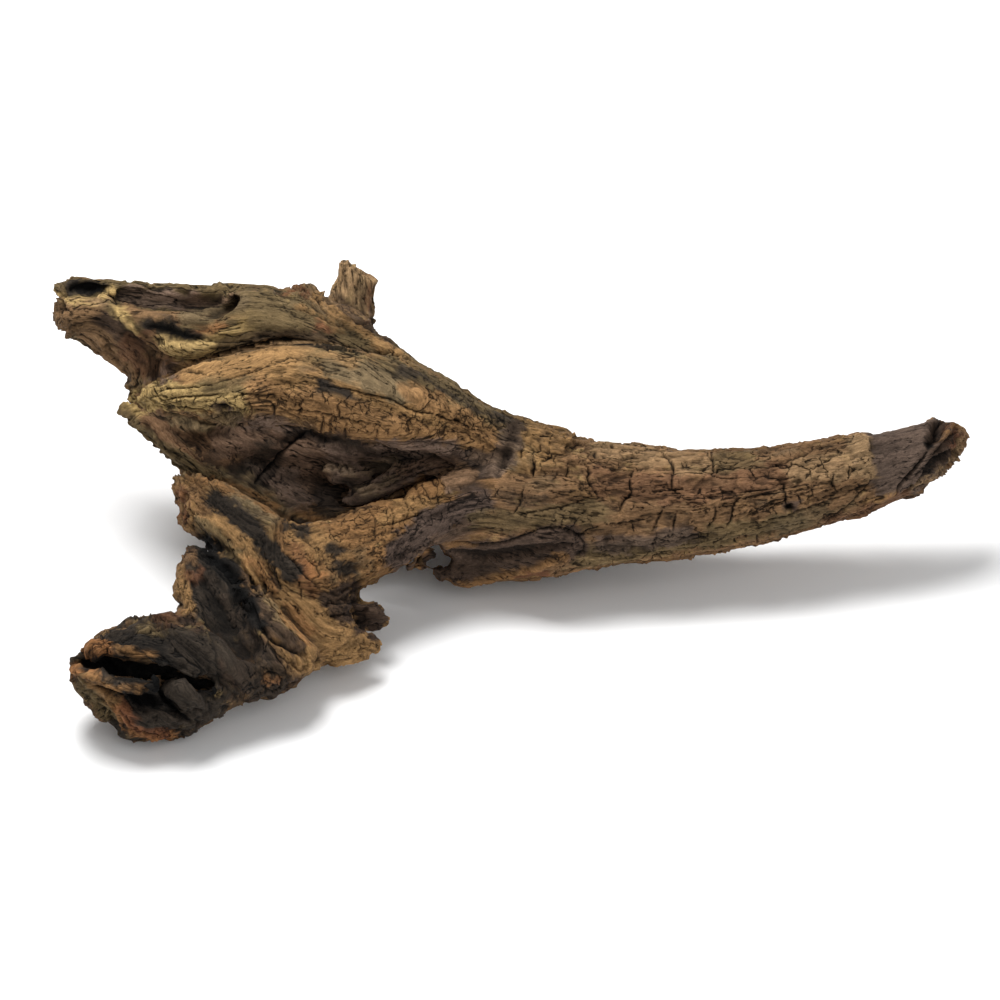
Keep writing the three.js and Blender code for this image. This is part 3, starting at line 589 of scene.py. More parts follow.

# Painted places, laid one over the other: the colour, the strength, the half width and the points.
# Painted shade lies in the gaps (gap, fold_rim, band_dark), under the ridge (hollow_roof, under_ridge),
# in crevices and recesses (hollow_crack, hollow_dark, mouth, mouth_right, pocket, crevice) and in holes
# (tube_hole, tip_hole, trunk_hole, ridge_side_hole).
PAINT = table("""
tube_side: bark 0.8 10 62,312 85,320 110,340 130,365
tube_rim: pale 0.8 3 58,296 70,299 90,300 105,297
tube_hole: coal 1 4.4 72,288 85,287 102,289
upper_top: olive 0.9 5 120,286 180,287 240,288 275,296
tube_front: straw 0.9 1.8 53,290 62,297 76,300 92,300 103,294 114,288
trough: umber 0.9 5.6 126,296 150,299 175,302 190,303
trough_right: dun 0.9 4 190,303 210,304 232,302
trough_lip: sage 0.9 3 180,319 205,315 225,306 245,301
lip_brown: bark 0.8 3 122,308 150,316 176,319
shell_edge: straw 1 2.6 117,310 128,322 139,335 148,345 152,355
below_edge: sepia 0.9 5 102,318 118,330 134,344
slot: coal 1 4.8 150,327 165,330 182,335 200,338
slot_orange: orange 0.8 2.4 195,330 210,330 225,326
limb_gold: straw 0.8 6 160,346 190,350 215,345 235,335 250,322
limb_right: olive 0.85 8 262,318 290,322 320,335 350,343
limb_shade: sepia 0.7 4 225,348 255,340 290,337 330,341
limb_streak: tan 0.7 1.6 300,308 320,316 340,330
diagonal_tan: tan 0.9 3 318,297 335,313 355,328 378,343 402,356 418,368
behind_diagonal: sepia 0.8 4 330,296 350,312 372,326 395,343
shell_inside: russet 0.8 10 140,350 155,365 165,382
shell_shade: umber 0.8 4 150,384 166,373 184,366
rim_olive: olive 0.9 5 128,410 142,430 162,448 185,466 215,478
rim_inside: russet 0.7 7 140,405 165,428 200,445 235,458
ridge_straw: straw 1 8 140,402 160,395 185,398 215,398 240,400
ridge_top_tan: tan 0.9 6 185,372 215,368 250,358 285,352
ridge_green: olive 0.8 4 205,386 230,385 255,384
ridge_left_grey: sage 0.8 4 175,420 205,424 235,418
ridge_ochre: gold 0.9 9 262,395 290,398 315,402
ridge_knot: tan 0.9 6 280,372 292,382
ridge_smooth: sage 1 7.5 338,366 360,374 385,384 400,392
ridge_smooth_top: tan 0.6 3 300,350 330,355 355,362
ridge_charcoal: coal 1 3.8 322,388 338,392 352,398 362,405
ridge_orange: gold 0.9 10 330,415 370,425 410,432 450,440 485,445
ridge_gold_line: tan 0.9 2.4 355,393 385,405 415,416 450,428
ridge_blocks: gold 0.8 5 408,390 425,400 450,410 475,425
top_charcoal: coal 0.9 3.2 400,372 430,380 455,392 480,408 520,424
top_edge: olive 0.7 3.5 405,352 430,372 460,388 490,408
under_ridge: sepia 0.9 3.6 340,436 365,446 400,449 430,449
hollow_all: umber 1 15 272,452 300,470 340,478 400,470 440,468
hollow_left: dun 0.9 8 225,440 250,445 275,448 308,456 315,475
hollow_dark: black 0.75 5 325,492 340,491 354,490
hollow_low: coal 0.8 4.5 322,510 359,503 392,496 437,479
hollow_shade: coal 0.8 5 240,470 256,462 268,450
hollow_roof: black 0.7 3.4 310,430 350,445 392,457 430,460
hollow_end: dun 0.8 6 452,470 465,478 470,490
hollow_end_dark: hollow 0.85 4.5 452,462 466,470 470,486
hollow_crack: black 0.8 3 304,430 286,440 274,466 253,486
hollow_floor: umber 0.9 6 395,496 420,488 446,482 470,478
hollow_rib: dust 0.75 3.4 358,492 380,486 400,474
hollow_rib_top: dust 0.6 3.6 366,470 382,466 396,464
hollow_rib_right: dun 0.8 4 400,472 425,465 450,462
rib_shade: hollow 0.9 2.4 343,492 350,496 358,499
hollow_grey: dust 0.6 3 328,468 340,469 352,472
wall: taupe 0.8 7 478,462 492,465 505,455 510,440
channel: bark 0.7 6 425,488 445,482 465,476
lower_gold: ochre 0.95 8 350,532 380,520 410,502 430,492
lower_yellow: tan 0.8 4 395,500 410,505 385,520 440,500
lower_left_tan: tan 0.8 7 300,530 325,545 340,560
lower_dark: coal 0.95 3.6 290,524 305,528 300,534
lower_dark_b: coal 0.95 3.4 333,548 343,551
lower_dark_c: coal 0.95 3.8 338,566 350,568
strip: mauve 1 7.5 398,556 412,540 428,526 455,512 480,502
strip_low: mauve 0.8 5 400,568 420,556 440,540 470,525
knot_orange: orange 1 3.6 309,566 314,574
knot_orange_b: rust 0.5 3.6 296,548 306,584 314,592
dark_patch: sepia 0.95 6 330,600 345,596 342,612 350,590
spur: sepia 1 8 360,612 375,618 368,630
band_tan: tan 0.9 6 192,490 215,512 240,535 262,560 280,590
band_pink: russet 0.4 4 195,490 205,510
band_charcoal: coal 1 5.8 217,500 232,510 248,524 264,542 280,560 292,571
band_charcoal_b: coal 0.9 1.6 268,566 274,578 280,592
band_olive: olive 0.9 4 198,522 222,540 238,562
band_orange: orange 0.5 3 250,560 262,572 274,592
band_low: tan 0.9 9 290,605 310,630 335,645 360,652
band_low_orange: orange 0.5 5 290,612 305,635
band_under: sage 0.8 4 262,600 275,622 290,640
band_dark: sepia 0.9 4 235,572 252,592 262,612 275,632 300,650
band_end: rust 0.8 3 180,490 181,505 183,520
band_top: ochre 0.9 2.6 190,477 225,486 255,495 275,510
fold: coal 0.75 12 200,580 220,615 240,650 265,680
fold_face: tan 0.8 5 178,572 182,590 187,606
fold_top: bark 0.8 3.5 184,560 198,552
fold_black: coal 0.9 7 205,590 215,625 225,650
fold_rust: rust 0.5 2.6 188,572 196,580 200,570
fold_tan: tan 0.95 3 182,588 186,600 189,608
fold_edge: olive 0.7 1.6 200,622 209,645 213,665 216,690
fold_knot: orange 0.7 2.2 268,681 275,683
lobe_char: coal 1 14 120,650 160,655 190,660 170,700 140,700
lobe_black: black 0.75 6.5 124,650 140,644 160,650 176,662
nose: coal 1 6 168,687 180,694 194,705 206,716
lobe_rust: rust 0.4 2.6 155,622 170,618 178,612
lobe_olive: olive 0.8 2.2 140,630 165,632 190,628
lobe_shade: coal 0.9 8 180,640 194,654 206,674
chips: orange 0.95 4.4 90,650 102,645 108,655
chips_strip: ochre 0.9 2.6 122,650 136,652 150,655
chips_low: orange 0.95 3.8 74,671 86,674 98,680
chips_low_b: ochre 0.95 2.6 98,679 115,688 128,690 140,686
side_olive: olive 0.9 7 84,690 96,705 108,712
side_tan: ochre 0.7 3 90,684 104,696 114,706
edge_orange: orange 0.95 3.4 118,710 132,726 150,738 172,741
edge_rust: rust 0.9 3 122,706 134,722 148,732 166,735
fold_rim: coal 1 3.4 200,552 212,566 226,582 240,597 252,608
gap: black 1 5.2 204,545 217,560 231,576 242,593 251,609 258,622
mouth: black 1 5 94,662 118,667 150,673 166,675
mouth_right: black 0.8 3.2 170,676 190,680 212,685
pocket: black 1 4.6 132,695 148,699 162,702
crevice: black 1 2.2 90,667 115,671 140,676 165,681 200,686 214,688
trunk_light: pale 0.6 6 600,447 640,455 690,462 720,475
trunk_red: russet 0.7 7 600,480 640,488 690,492 740,482 780,475
trunk_light_b: pale 0.7 7 800,470 830,468 860,462
trunk_olive: olive 0.8 6 480,520 520,520 560,514 600,512
trunk_olive_b: olive 0.85 5 580,558 640,548 700,538 750,528 800,520
trunk_purple: mauve 0.8 4 600,545 650,540 690,532
trunk_olive_c: sage 0.7 5 780,525 820,512 850,500
trunk_grey: coal 0.5 3 508,505 540,500 500,495
panel: olive 0.7 5 722,460 750,461
tip: tip 1 16 885,455 905,450 925,440 900,475
bark_end: pale 1 5 856,440 861,452 866,466 860,478
bark_end_low: bark 1 4 858,482 848,494 836,506
tip_hole: black 0.9 4 941,423 936,434 930,445
tip_end: sepia 0.8 6 940,430 952,442 940,456
tip_rust: rust 0.7 1.8 950,428 960,436 952,446
tip_light: pale 0.6 1.2 962,444 948,460 932,478 915,492
tip_flake: tan 0.9 1.6 866,502 880,497 895,491 890,500
tip_strips: pale 0.8 1.1 966,436 952,452 938,468 922,484
tip_chips: ochre 0.8 1.2 953,426 947,433 942,440
tip_under: russet 0.8 4 830,525 860,515 885,505 905,497
flap: hollow 1 9 442,566 470,562 505,555 545,545 570,542
flap_shade: sepia 0.9 4.5 445,570 480,568 515,561 548,551
flap_lip: ochre 0.85 2.2 470,583 500,578 522,572 545,564 565,556
flap_rust: rust 0.9 3 520,579 532,577 545,572
stub_light: pale 0.5 3 342,264 336,282 330,300
stub_rust: rust 0.6 2 372,285 373,305 370,320
knot_rust: rust 0.7 2 285,291 300,288 308,293
small_knot: rust 0.8 2.4 321,325 327,329
ridge_side_hole: hollow 1 2.6 218,407 228,408
trunk_hole: hollow 1 3 786,506 794,507
shoulder_line: sepia 0.6 4 516,424 511,440 505,456
""")

PAINTED_THROUGH = ("fold_rim", "gap")  # painted shadow in the gap by the fold, whose far walls show too
PAINT_SPARE = 6  # how far past a place's half width its uneven edge may reach


def linear(colour):
    """A colour of 0 to 255 as linear light."""
    share = np.array(colour, float) / 255
    return np.where(share <= 0.04045, share / 12.92, ((share + 0.055) / 1.055) ** 2.4)


def bark_mask(column, row, toward, seen):
    """Where the bark lies, from 0 to 1. It begins softly, and its far edge is more ragged behind."""
    place = np.stack([column, row, toward / MM_PER_PIXEL], axis=1)
    broad = layered(place / 45, 3, seed=12)
    ragged = 0.9 * layered(place / 8, 3, seed=11)
    edge = inside(column, row, BARK) + ragged + np.where(seen, 0.0, 12.0) * broad
    start = column + np.where(seen, 40, 160) * broad
    first, whole_in_front, whole_behind = BARK_START
    return ramp(edge, -0.3, 0.3) * ramp(start, first, np.where(seen, whole_in_front, whole_behind))


# Meshes

def evaluated(piece):
    """The piece's mesh with its modifiers applied."""
    graph = bpy.context.evaluated_depsgraph_get()
    mesh = bpy.data.meshes.new_from_object(piece.evaluated_get(graph), depsgraph=graph)
    piece.modifiers.clear()
    piece.data = mesh
    return mesh


def modified(piece, kind, **settings):
    modifier = piece.modifiers.new(kind.lower(), kind)
    for name, value in settings.items():
        setattr(modifier, name, value)
    return evaluated(piece)


# The kind of attribute that holds so many numbers a vertex, and its field
KINDS = {1: ("FLOAT", "value"), 3: ("FLOAT_VECTOR", "vector"), 4: ("FLOAT_COLOR", "color")}


def store(mesh, name, values):
    """Keeps a value, a vector or a colour for each vertex."""
    values = np.asarray(values, np.float32)
    kind, field = KINDS[values.size // len(values)]
    if name in mesh.attributes:
        mesh.attributes.remove(mesh.attributes[name])
    mesh.attributes.new(name, kind, "POINT").data.foreach_set(field, values.ravel())


def stored(mesh, name, width=3):
    return values_of(mesh.attributes[name].data, KINDS[width][1], width)


LEAST_WIDTH = 0.0002  # keeps a line's width from being nothing


class Nodes:
    """Short calls for the nodes of one tree, of a material or of a mesh."""

    def __init__(self, tree):
        self.tree = tree

    def add(self, kind, inputs, **settings):
        """A new node with its settings, and with each input joined to a socket or given a value."""
        node = self.tree.nodes.new(kind)
        for name, value in settings.items():
            setattr(node, name, value)
        for name, source in inputs.items():
            if isinstance(source, (int, float, tuple, str)):
                node.inputs[name].default_value = source
            else:
                self.tree.links.new(source, node.inputs[name])
        return node

    def stretched(self, vector, scale):
        """The vector times three scales."""
        return self.add("ShaderNodeVectorMath", {0: vector, 1: scale}, operation="MULTIPLY").outputs[0]

    def noise(self, vector, scale, detail=3, roughness=0.6, distortion=0.0):
        """Noise of the vector times the three scales, about 0.5."""
        return self.add("ShaderNodeTexNoise", {
            "Vector": self.stretched(vector, scale),
            "Scale": 1.0,
            "Detail": detail,
            "Roughness": roughness,
            "Distortion": distortion,
        }).outputs[0]

    def math(self, operation, a, b=0.0):
        return self.add("ShaderNodeMath", {0: a, 1: b}, operation=operation).outputs[0]

    def product(self, *factors):
        total = factors[0]
        for factor in factors[1:]:
            total = self.math("MULTIPLY", total, factor)
        return total

    def total(self, *parts):
        whole = parts[0]
        for part in parts[1:]:
            whole = self.math("ADD", whole, part)
        return whole

    def ranged(self, value, low, high, start, end):
        """The value moved from the range low to high into the range start to end, and held there."""
        limits = {"From Min": low, "From Max": high, "To Min": start, "To Max": end}
        return self.add("ShaderNodeMapRange", {"Value": value, **limits}).outputs["Result"]

    def thin(self, away, width, where):
        """From 1 at no distance to 0 at the width, which is the wider the more where is."""
        reach = self.total(self.math("MULTIPLY", where, width), LEAST_WIDTH)
        return self.ranged(self.math("DIVIDE", away, reach), 0.0, 1.0, 1.0, 0.0)

    def lines(self, vector, scale, width, where):
        """Wavering lines, 1 at their middles, where a noise passes its mean."""
        noise = self.noise(vector, scale, 3, 0.5, 0.4)
        return self.thin(self.math("ABSOLUTE", self.math("SUBTRACT", noise, 0.5)), width, where)

    def cells(self, vector, scale, width, where):
        """Cracks that join into the outlines of small plates."""
        bend = self.add("ShaderNodeTexNoise", {"Vector": vector, "Scale": 0.35, "Detail": 4})
        pushes = {0: bend.outputs["Color"], 1: (3.5, 3.5, 3.5), 2: vector}
        moved = self.add("ShaderNodeVectorMath", pushes, operation="MULTIPLY_ADD").outputs[0]
        places = {"Vector": self.stretched(moved, scale), "Scale": 1.0}
        node = self.add("ShaderNodeTexVoronoi", places, feature="DISTANCE_TO_EDGE")
        return self.thin(node.outputs["Distance"], width, where)

    def patches(self, vector, scale, cover):
        """Soft-edged patches, 1 inside, over more of the surface the higher cover is."""
        return self.ranged(self.noise(vector, scale, 2), 0.5 - cover, 0.66 - cover, 0.0, 1.0)

    def steps(self, value, count):
        """The value as a stair of count steps for each whole unit."""
        scaled = self.math("MULTIPLY", value, count)
        rise = self.ranged(self.math("FRACT", scaled), 0.78, 1.0, 0.0, 1.0)
        return self.math("DIVIDE", self.math("ADD", self.math("FLOOR", scaled), rise), count)


def wood_cracks(nodes, grain, bark, checked, calm):
    """How cracked the wood is, from 0 to 1: along the grain, across the bark, and in small checks."""
    long_patches = nodes.patches(grain, (0.02, 0.06, 0.06), 0.02)
    fine_patches = nodes.patches(grain, (0.04, 0.09, 0.09), 0.04)
    cracked = nodes.product(bark, nodes.ranged(calm, 0.0, 1.0, 1.0, 0.0))
    bark_patches = nodes.product(nodes.patches(grain, (0.06, 0.1, 0.1), 0.01), cracked)
    check_patches = nodes.product(nodes.patches(grain, (0.09, 0.16, 0.16), 0.06), checked)
    along = nodes.lines(grain, (0.018, 0.15, 0.15), 0.024, long_patches)
    fine = nodes.product(nodes.lines(grain, (0.03, 0.42, 0.42), 0.032, fine_patches), 0.8)
    plates = nodes.cells(grain, (0.1, 0.084, 0.084), 0.036, bark_patches)
    checks = nodes.cells(grain, (0.2, 0.19, 0.19), 0.055, check_patches)
    barred = nodes.math("MAXIMUM", plates, checks)
    return nodes.math("MAXIMUM", nodes.math("MAXIMUM", along, fine), barred)


def bark_flakes(nodes, grain):
    """The bark's flakes in steps, the higher the prouder."""
    return nodes.steps(nodes.noise(grain, (0.034, 0.1, 0.1), 4, 0.55, 0.4), 8.0)


def wood_relief(nodes, masks):
    """How deep the wood's surface lies, in mm."""
    grain, bark = masks["grain"], masks["bark"]
    cracks = wood_cracks(nodes, grain, bark, masks["checked"], masks["calm"])
    layers = nodes.steps(nodes.noise(grain, (0.022, 0.2, 0.2), 3, 0.5), 7.0)
    chunks = nodes.steps(nodes.noise(grain, (0.055, 0.13, 0.13), 3, 0.5, 0.6), 6.0)
    folds = nodes.noise(grain, (0.012, 0.1, 0.1), 2, 0.5, 0.5)
    fibres = nodes.noise(grain, (0.024, 0.38, 0.38), 3, 0.6)
    unevenness = nodes.ranged(nodes.noise(grain, (0.02, 0.05, 0.05), 2), 0.38, 0.62, 0.35, 1.2)
    rough = nodes.product(unevenness, nodes.ranged(masks["calm"], 0.0, 1.0, 1.0, 0.3))
    bare = nodes.product(rough, nodes.ranged(bark, 0.0, 1.0, 1.0, 0.35))
    return nodes.total(
        nodes.product(cracks, nodes.ranged(bark, 0.0, 1.0, 0.9, 1.6)),
        nodes.product(nodes.math("SUBTRACT", 0.5, bark_flakes(nodes, grain)), bark, 9.0),
        nodes.product(nodes.math("SUBTRACT", 0.5, layers), bare, 3.0),
        nodes.product(nodes.math("SUBTRACT", 0.5, chunks), masks["broken"], 9.0),
        nodes.product(nodes.math("SUBTRACT", 0.5, folds), bare, 7.0),
        nodes.product(nodes.math("SUBTRACT", 0.5, fibres), rough, 1.15),
    )


def relief_sampler():
    """A mesh modifier's nodes that store, for each vertex, how deep its surface lies."""
    tree = bpy.data.node_groups.new("relief", "GeometryNodeTree")
    tree.interface.new_socket("Geometry", in_out="INPUT", socket_type="NodeSocketGeometry")
    tree.interface.new_socket("Geometry", in_out="OUTPUT", socket_type="NodeSocketGeometry")
    nodes = Nodes(tree)

    def named(name, kind):
        node = nodes.add("GeometryNodeInputNamedAttribute", {"Name": name}, data_type=kind)
        return node.outputs["Attribute"]

    masks = {name: named(name, "FLOAT") for name in ("bark", "checked", "broken", "calm")}
    masks["grain"] = named("grain", "FLOAT_VECTOR")
    kept = {
        "Geometry": tree.nodes.new("NodeGroupInput").outputs[0],
        "Name": "relief",
        "Value": wood_relief(nodes, masks),
    }
    keep = nodes.add("GeometryNodeStoreNamedAttribute", kept, data_type="FLOAT", domain="POINT")
    nodes.add("NodeGroupOutput", {0: keep.outputs["Geometry"]})
    return tree


def seen_from_camera(column, row, toward, cell=3.0, slack=3.0):
    """Whether a vertex is the frontmost at its place in the photograph, to within the slack in mm."""
    last = int(PHOTO_SIZE / cell)
    i = np.clip((column / cell).astype(int), 0, last)
    j = np.clip((row / cell).astype(int), 0, last)
    front = np.full((last + 1, last + 1), -np.inf)
    np.maximum.at(front, (i, j), toward)
    return toward > front[i, j] - slack


def neighbour_mean(mesh, values, rounds):
    """The values averaged with those of each vertex's neighbours, some rounds of it."""
    edges = np.empty(len(mesh.edges) * 2, np.int32)
    mesh.edges.foreach_get("vertices", edges)
    a, b = edges.reshape(-1, 2).T
    count = len(mesh.vertices)
    degree = np.maximum(np.bincount(a, minlength=count) + np.bincount(b, minlength=count), 1)
    for _ in range(rounds):
        around = [np.bincount(a, v[b], count) + np.bincount(b, v[a], count) for v in values.T]
        values = 0.5 * values + 0.5 * np.stack(around, axis=1) / degree[:, None]
    return values


def hollowness(mesh, rounds):
    """How far each vertex lies below the mean of its surroundings, in mm."""
    co = vertex_array(mesh)
    lift = neighbour_mean(mesh, co, rounds) - co
    return np.sum(lift * vertex_array(mesh, "normal"), axis=1) / MM


def place_vertices(mesh, co):
    """Moves the vertices, none of them below the floor."""
    co[:, 2] = np.maximum(co[:, 2], 0.0)
    mesh.vertices.foreach_set("co", co.astype(np.float32).ravel())


def fine_wood():
    """The wood's mesh at full detail, with each vertex's undisplaced place kept as rest."""
    piece = bpy.data.objects.new("driftwood_surface", CAD_MESH.copy())
    bpy.context.scene.collection.objects.link(piece)
    piece.data.materials.clear()
    modified(piece, "REMESH", mode="VOXEL", voxel_size=VOXEL, use_smooth_shade=True)
    mesh = modified(piece, "SMOOTH", factor=0.5, iterations=SMOOTHING)
    rest = vertex_array(mesh)
    column, row, toward = photo_places(rest)
    seen = seen_from_camera(column, row, toward)
    keep_masks(mesh, column, row, toward, seen)
    modifier = piece.modifiers.new("relief", "NODES")
    modifier.node_group = relief_sampler()
    mesh = evaluated(piece)
    depth = stored(mesh, "relief", 1)
    everywhere = np.ones(len(rest), bool)
    depth += carve(column, row, seen, CRACKS) + carve(column, row, seen, SWELLS, SWELL_SLOPE)
    depth += carve(column, row, seen, PLATES, PLATE_SLOPE) + carve(column, row, everywhere, TRIMS)
    depth -= BARK_THICKNESS * stored(mesh, "bark", 1)
    place_vertices(mesh, rest - vertex_array(mesh, "normal") * depth[:, None] * MM)
    store(mesh, "rest", rest)
    return piece


def keep_masks(mesh, column, row, toward, seen):
    """Stores the grain and where the wood is barked, checked and broken."""
    bark = bark_mask(column, row, toward, seen)
    store(mesh, "grain", grain_of(column, row, toward))
    store(mesh, "bark", bark)
    store(mesh, "checked", stroke_mask(column, row, CHECKED) * seen * (1 - bark))
    store(mesh, "broken", stroke_mask(column, row, BROKEN))
    store(mesh, "calm", stroke_mask(column, row, CALM, 4.0))


# Rounds of averaging, then how much painted shade darkens the colour in hollows and painted highlight
# lightens it on ridges, from and to which mm
SHADING = ((3, (0.5, 0.0, 0.28), (0.2, 0.0, 0.25)), (70, (0.5, 0.1, 2.2), (0.1, 0.1, 2.0)))
# Patches of colour all over the wood: the colour, the pattern that places them and its sign and offset
PATCHES = (("sage", 0, 1, 0), ("tan", 0, -1, 0), ("sepia", 1, 1, 0), ("straw", 1, -1, -0.16))


def limb_paint(column, row, toward):
    """Each limb's own colour, with uneven borders."""
    wander = np.stack([column, row, toward / MM_PER_PIXEL], axis=1) / 22
    shift = [14 * layered(wander, 4, seed=80 + n) for n in range(2)]
    share = nearness(axis_places(column + shift[0], row + shift[1])[2], 2.0)
    return share.T @ np.array([linear(COLOURS[name]) for name, _ in AXES.values()])


def painted(column, row, toward, rest, seen, grain):
    """The colour of each vertex before its fine grain, with painted shade in some gaps, holes and crevices.
    """
    colour = limb_paint(column, row, toward)
    back = np.array(linear(COLOURS["bark"])) * 0.9
    unseen = 0.6 * (1 - seen.astype(float))[:, None]
    colour = colour * (1 - unseen) + back * unseen
    patches = layered(rest / MM / 24, 4, seed=61, roughness=0.65)
    spots = layered(rest / MM / 9, 3, seed=62, roughness=0.65)
    streak = layered(grain / np.array([18.0, 2.4, 2.4]), 2, seed=65)
    for name, pattern, sign, offset in PATCHES:
        values = sign * (patches, spots)[pattern] + offset
        share = 0.5 * ramp(values + 0.5 * streak, 0.08, 0.5)[:, None]
        colour = colour * (1 - share) + linear(COLOURS[name]) * share
    place = on_photo(column, row)
    bent_column = column + 7 * layered(place / 16, 4, seed=63, roughness=0.65)
    bent_row = row + 7 * layered(place / 16, 4, seed=64, roughness=0.65)
    for spot, (name, strength, half_width, points) in PAINT.items():
        shown = seen | (spot in PAINTED_THROUGH)
        near = shown & near_stroke(column, row, points, half_width + PAINT_SPARE)
        if not near.any():
            continue
        _, _, side, _ = along_and_across(bent_column[near], bent_row[near], points)
        edge = half_width - np.abs(side) + 3.2 * streak[near] + 1.6 * spots[near]
        share = (strength * ramp(edge, -0.9, 1.4))[:, None]
        colour[near] = colour[near] * (1 - share) + linear(COLOURS[name]) * share
    return colour


def drop_slivers(mesh):
    """Makes every face a triangle, and takes out the pairs that the thinning leaves back to back."""
    thinned = bmesh.new()
    thinned.from_mesh(mesh)
    bmesh.ops.triangulate(thinned, faces=thinned.faces)
    twins = {}
    for face in thinned.faces:
        twins.setdefault(frozenset(face.verts), []).append(face)
    slivers = [face for faces in twins.values() if len(faces) > 1 for face in faces]
    bmesh.ops.delete(thinned, geom=slivers, context="FACES")
    thinned.to_mesh(mesh)
    thinned.free()


def dressed(piece):
    """Thins the fine mesh and gives it the values that its material reads, painted shade and highlight
    among them.
    """
    triangles = sum(len(face.vertices) - 2 for face in piece.data.polygons)
    mesh = modified(piece, "DECIMATE", ratio=MOST_TRIANGLES / triangles)
    drop_slivers(mesh)
    rest = stored(mesh, "rest")
    column, row, toward = photo_places(rest)
    seen = seen_from_camera(column, row, toward, slack=4.0)
    keep_masks(mesh, column, row, toward, seen)
    colour = painted(column, row, toward, rest, seen, stored(mesh, "grain"))
    # Painted shade: the colour darkens the deeper a crack is carved.
    depth = np.clip(carve(column, row, seen, CRACKS), 0, 3)
    colour *= (1 - 0.8 * ramp(depth, 0.3, 2.0))[:, None]
    # Painted shade in hollows and painted highlight on ridges
    for rounds, (dark, *hollow), (light, *ridge) in SHADING:
        fall = hollowness(mesh, rounds)
        colour *= (1 - dark * ramp(fall, *hollow) + light * ramp(-fall, *ridge))[:, None]
    store(mesh, "paint", np.hstack([colour, np.ones((len(colour), 1))]))
    place_vertices(mesh, vertex_array(mesh))
    mesh.polygons.foreach_set("use_smooth", np.ones(len(mesh.polygons), bool))
    piece.data.materials.append(wood_material())
    return piece


# The material

BUMP_DEPTH = 0.0012  # in metres


def wood_material():
    """Painted wood whose fibres, flecks and cracks come from the same patterns as its relief, with painted
    shade in the cracks.
    """
    material = bpy.data.materials.new("wood")
    material.use_nodes = True
    nodes = Nodes(material.node_tree)
    shader = nodes.tree.nodes["Principled BSDF"]

    def named(name, output):
        return nodes.add("ShaderNodeAttribute", {}, attribute_name=name).outputs[output]

    def times(colour, factor):
        return nodes.add("ShaderNodeVectorMath", {0: colour, "Scale": factor}, operation="SCALE").outputs[0]

    grain = named("grain", "Vector")
    bark = named("bark", "Fac")
    streaks = nodes.noise(grain, (0.03, 0.5, 0.5), 7, 0.72)
    flaked = nodes.product(nodes.math("SUBTRACT", bark_flakes(nodes, grain), 0.5), bark)
    fleck = nodes.noise(grain, (0.42, 1.1, 1.1), 5, 0.75)
    grit = nodes.noise(grain, (1.1, 2.0, 2.0), 3, 0.8)
    hairs = nodes.noise(grain, (0.1, 1.9, 1.9), 4, 0.7)
    blotch = nodes.noise(grain, (0.05, 0.12, 0.12), 4, 0.6)
    cracks = wood_cracks(nodes, grain, bark, named("checked", "Fac"), named("calm", "Fac"))
    # Each pattern, the range of it that counts, and the factors that it takes the colour through.
    # The cracks darken the colour as painted shade.
    tints = (
        (streaks, 0.3, 0.72, 0.62, 1.42),
        (fleck, 0.28, 0.72, 0.66, 1.36),
        (grit, 0.3, 0.7, 0.8, 1.2),
        (hairs, 0.3, 0.7, 0.74, 1.28),
        (flaked, -0.2, 0.2, 0.78, 1.22),
        (blotch, 0.3, 0.7, 0.82, 1.18),
        # painted shade in the cracks
        (cracks, 0.0, 0.8, 1.0, 0.22),
    )
    colour = named("paint", "Color")
    for tint in tints:
        colour = times(colour, nodes.ranged(*tint))
    shader.inputs["Specular IOR Level"].default_value = 0.15
    heights = ((streaks, 0.9), (fleck, 0.8), (grit, 0.25), (hairs, 0.45), (cracks, -0.8))
    height = nodes.total(*(nodes.math("MULTIPLY", pattern, share) for pattern, share in heights))
    bump = nodes.add("ShaderNodeBump", {"Strength": 1.0, "Distance": BUMP_DEPTH, "Height": height})
    join = nodes.tree.links.new
    join(colour, shader.inputs["Base Color"])
    join(nodes.ranged(fleck, 0.3, 0.7, 0.95, 0.7), shader.inputs["Roughness"])
    join(bump.outputs["Normal"], shader.inputs["Normal"])
    return material


# Floor, lights and camera

FLOOR_SIZE = 8
FLOOR_DROP = 0.0004  # how far the floor lies below the wood, so that the two don't meet


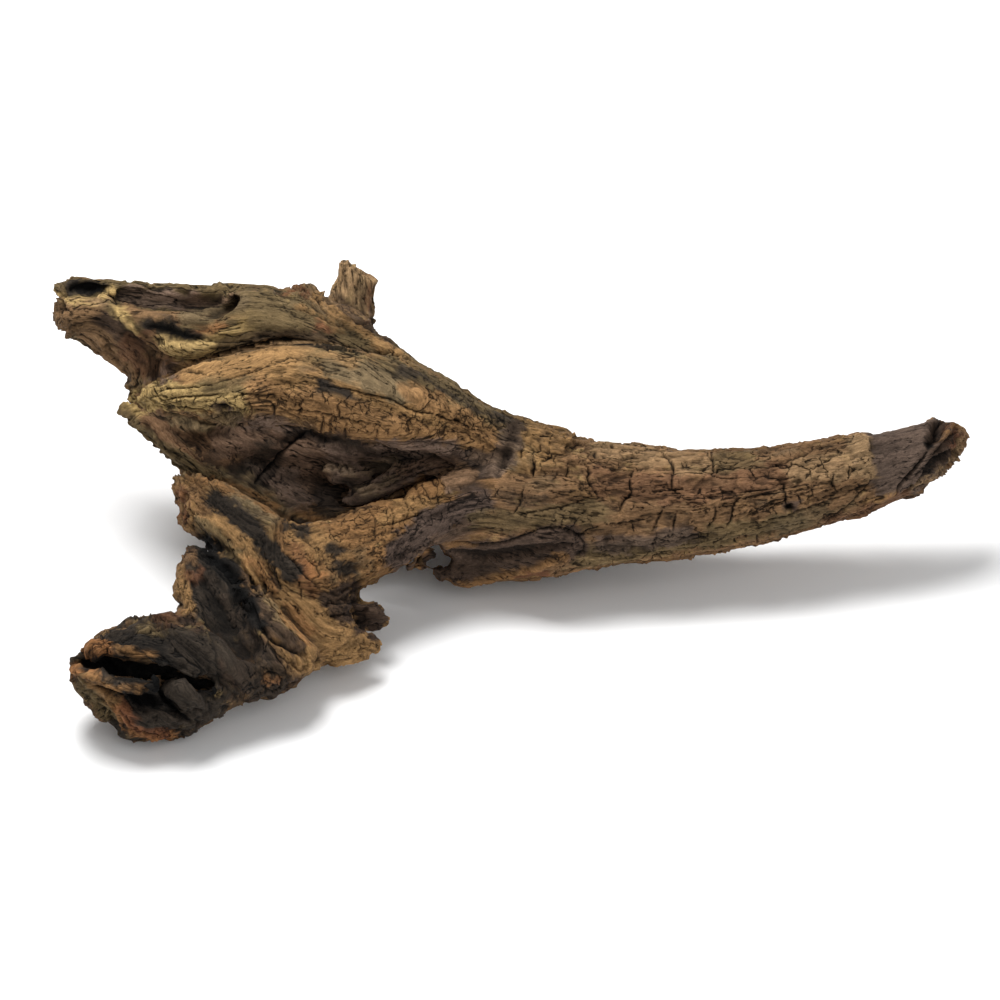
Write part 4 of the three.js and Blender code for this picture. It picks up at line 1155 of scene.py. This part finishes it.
def add_floor():
    bpy.ops.mesh.primitive_plane_add(size=FLOOR_SIZE, location=(0, 0, -FLOOR_DROP))
    floor = bpy.context.object
    floor.name = "floor"
    material = bpy.data.materials.new("floor")
    material.use_nodes = True
    shader = material.node_tree.nodes["Principled BSDF"]
    shader.inputs["Base Color"].default_value = (0.94, 0.94, 0.94, 1)
    shader.inputs["Roughness"].default_value = 0.9
    floor.data.materials.append(material)


def add_light(name, place, size, power, aim=(0, 0, 0.05)):
    """A square light at a place, turned to its aim."""
    data = bpy.data.lights.new(name, "AREA")
    data.size = size
    data.energy = power
    lamp = bpy.data.objects.new(name, data)
    lamp.location = place
    x, y, z = np.array(aim, float) - np.array(place, float)
    lean = math.atan2(math.hypot(x, y), -z)
    lamp.rotation_euler = (lean, 0, math.atan2(x, -y) + math.pi)
    bpy.context.scene.collection.objects.link(lamp)


def add_lights():
    world = bpy.data.worlds.new("world")
    bpy.context.scene.world = world
    world.use_nodes = True
    background = world.node_tree.nodes["Background"]
    background.inputs["Color"].default_value = (1, 1, 1, 1)
    background.inputs["Strength"].default_value = 0.42
    add_light("key", place=(-0.35, 0.25, 1.3), size=0.7, power=23)
    add_light("fill", place=(0.5, -1.1, 0.9), size=1.2, power=6)


def add_camera():
    """Looks at the wood from in front, LEAN above level, with the photograph's middle in the middle."""
    data = bpy.data.cameras.new("camera")
    data.type = "ORTHO"
    data.ortho_scale = PHOTO_SIZE * MM_PER_PIXEL * MM
    data.clip_end = 20
    camera = bpy.data.objects.new("camera", data)
    across = (MIDDLE[0] + (PHOTO_SIZE / 2 - PHOTO_MIDDLE[0]) * MM_PER_PIXEL) * MM
    up = (MIDDLE[1] - (PHOTO_SIZE / 2 - PHOTO_MIDDLE[1]) * MM_PER_PIXEL) * MM
    distance = 2.0
    camera.location = (
        across,
        up * math.sin(LEAN) - distance * math.cos(LEAN),
        up * math.cos(LEAN) + distance * math.sin(LEAN),
    )
    camera.rotation_euler = (math.pi / 2 - LEAN, 0, 0)
    bpy.context.scene.collection.objects.link(camera)
    bpy.context.scene.camera = camera


bpy.context.scene.view_settings.view_transform = "Standard"
add_camera()
add_lights()
add_floor()
wood = dressed(fine_wood())
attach(wood, "root")
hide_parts("driftwood")
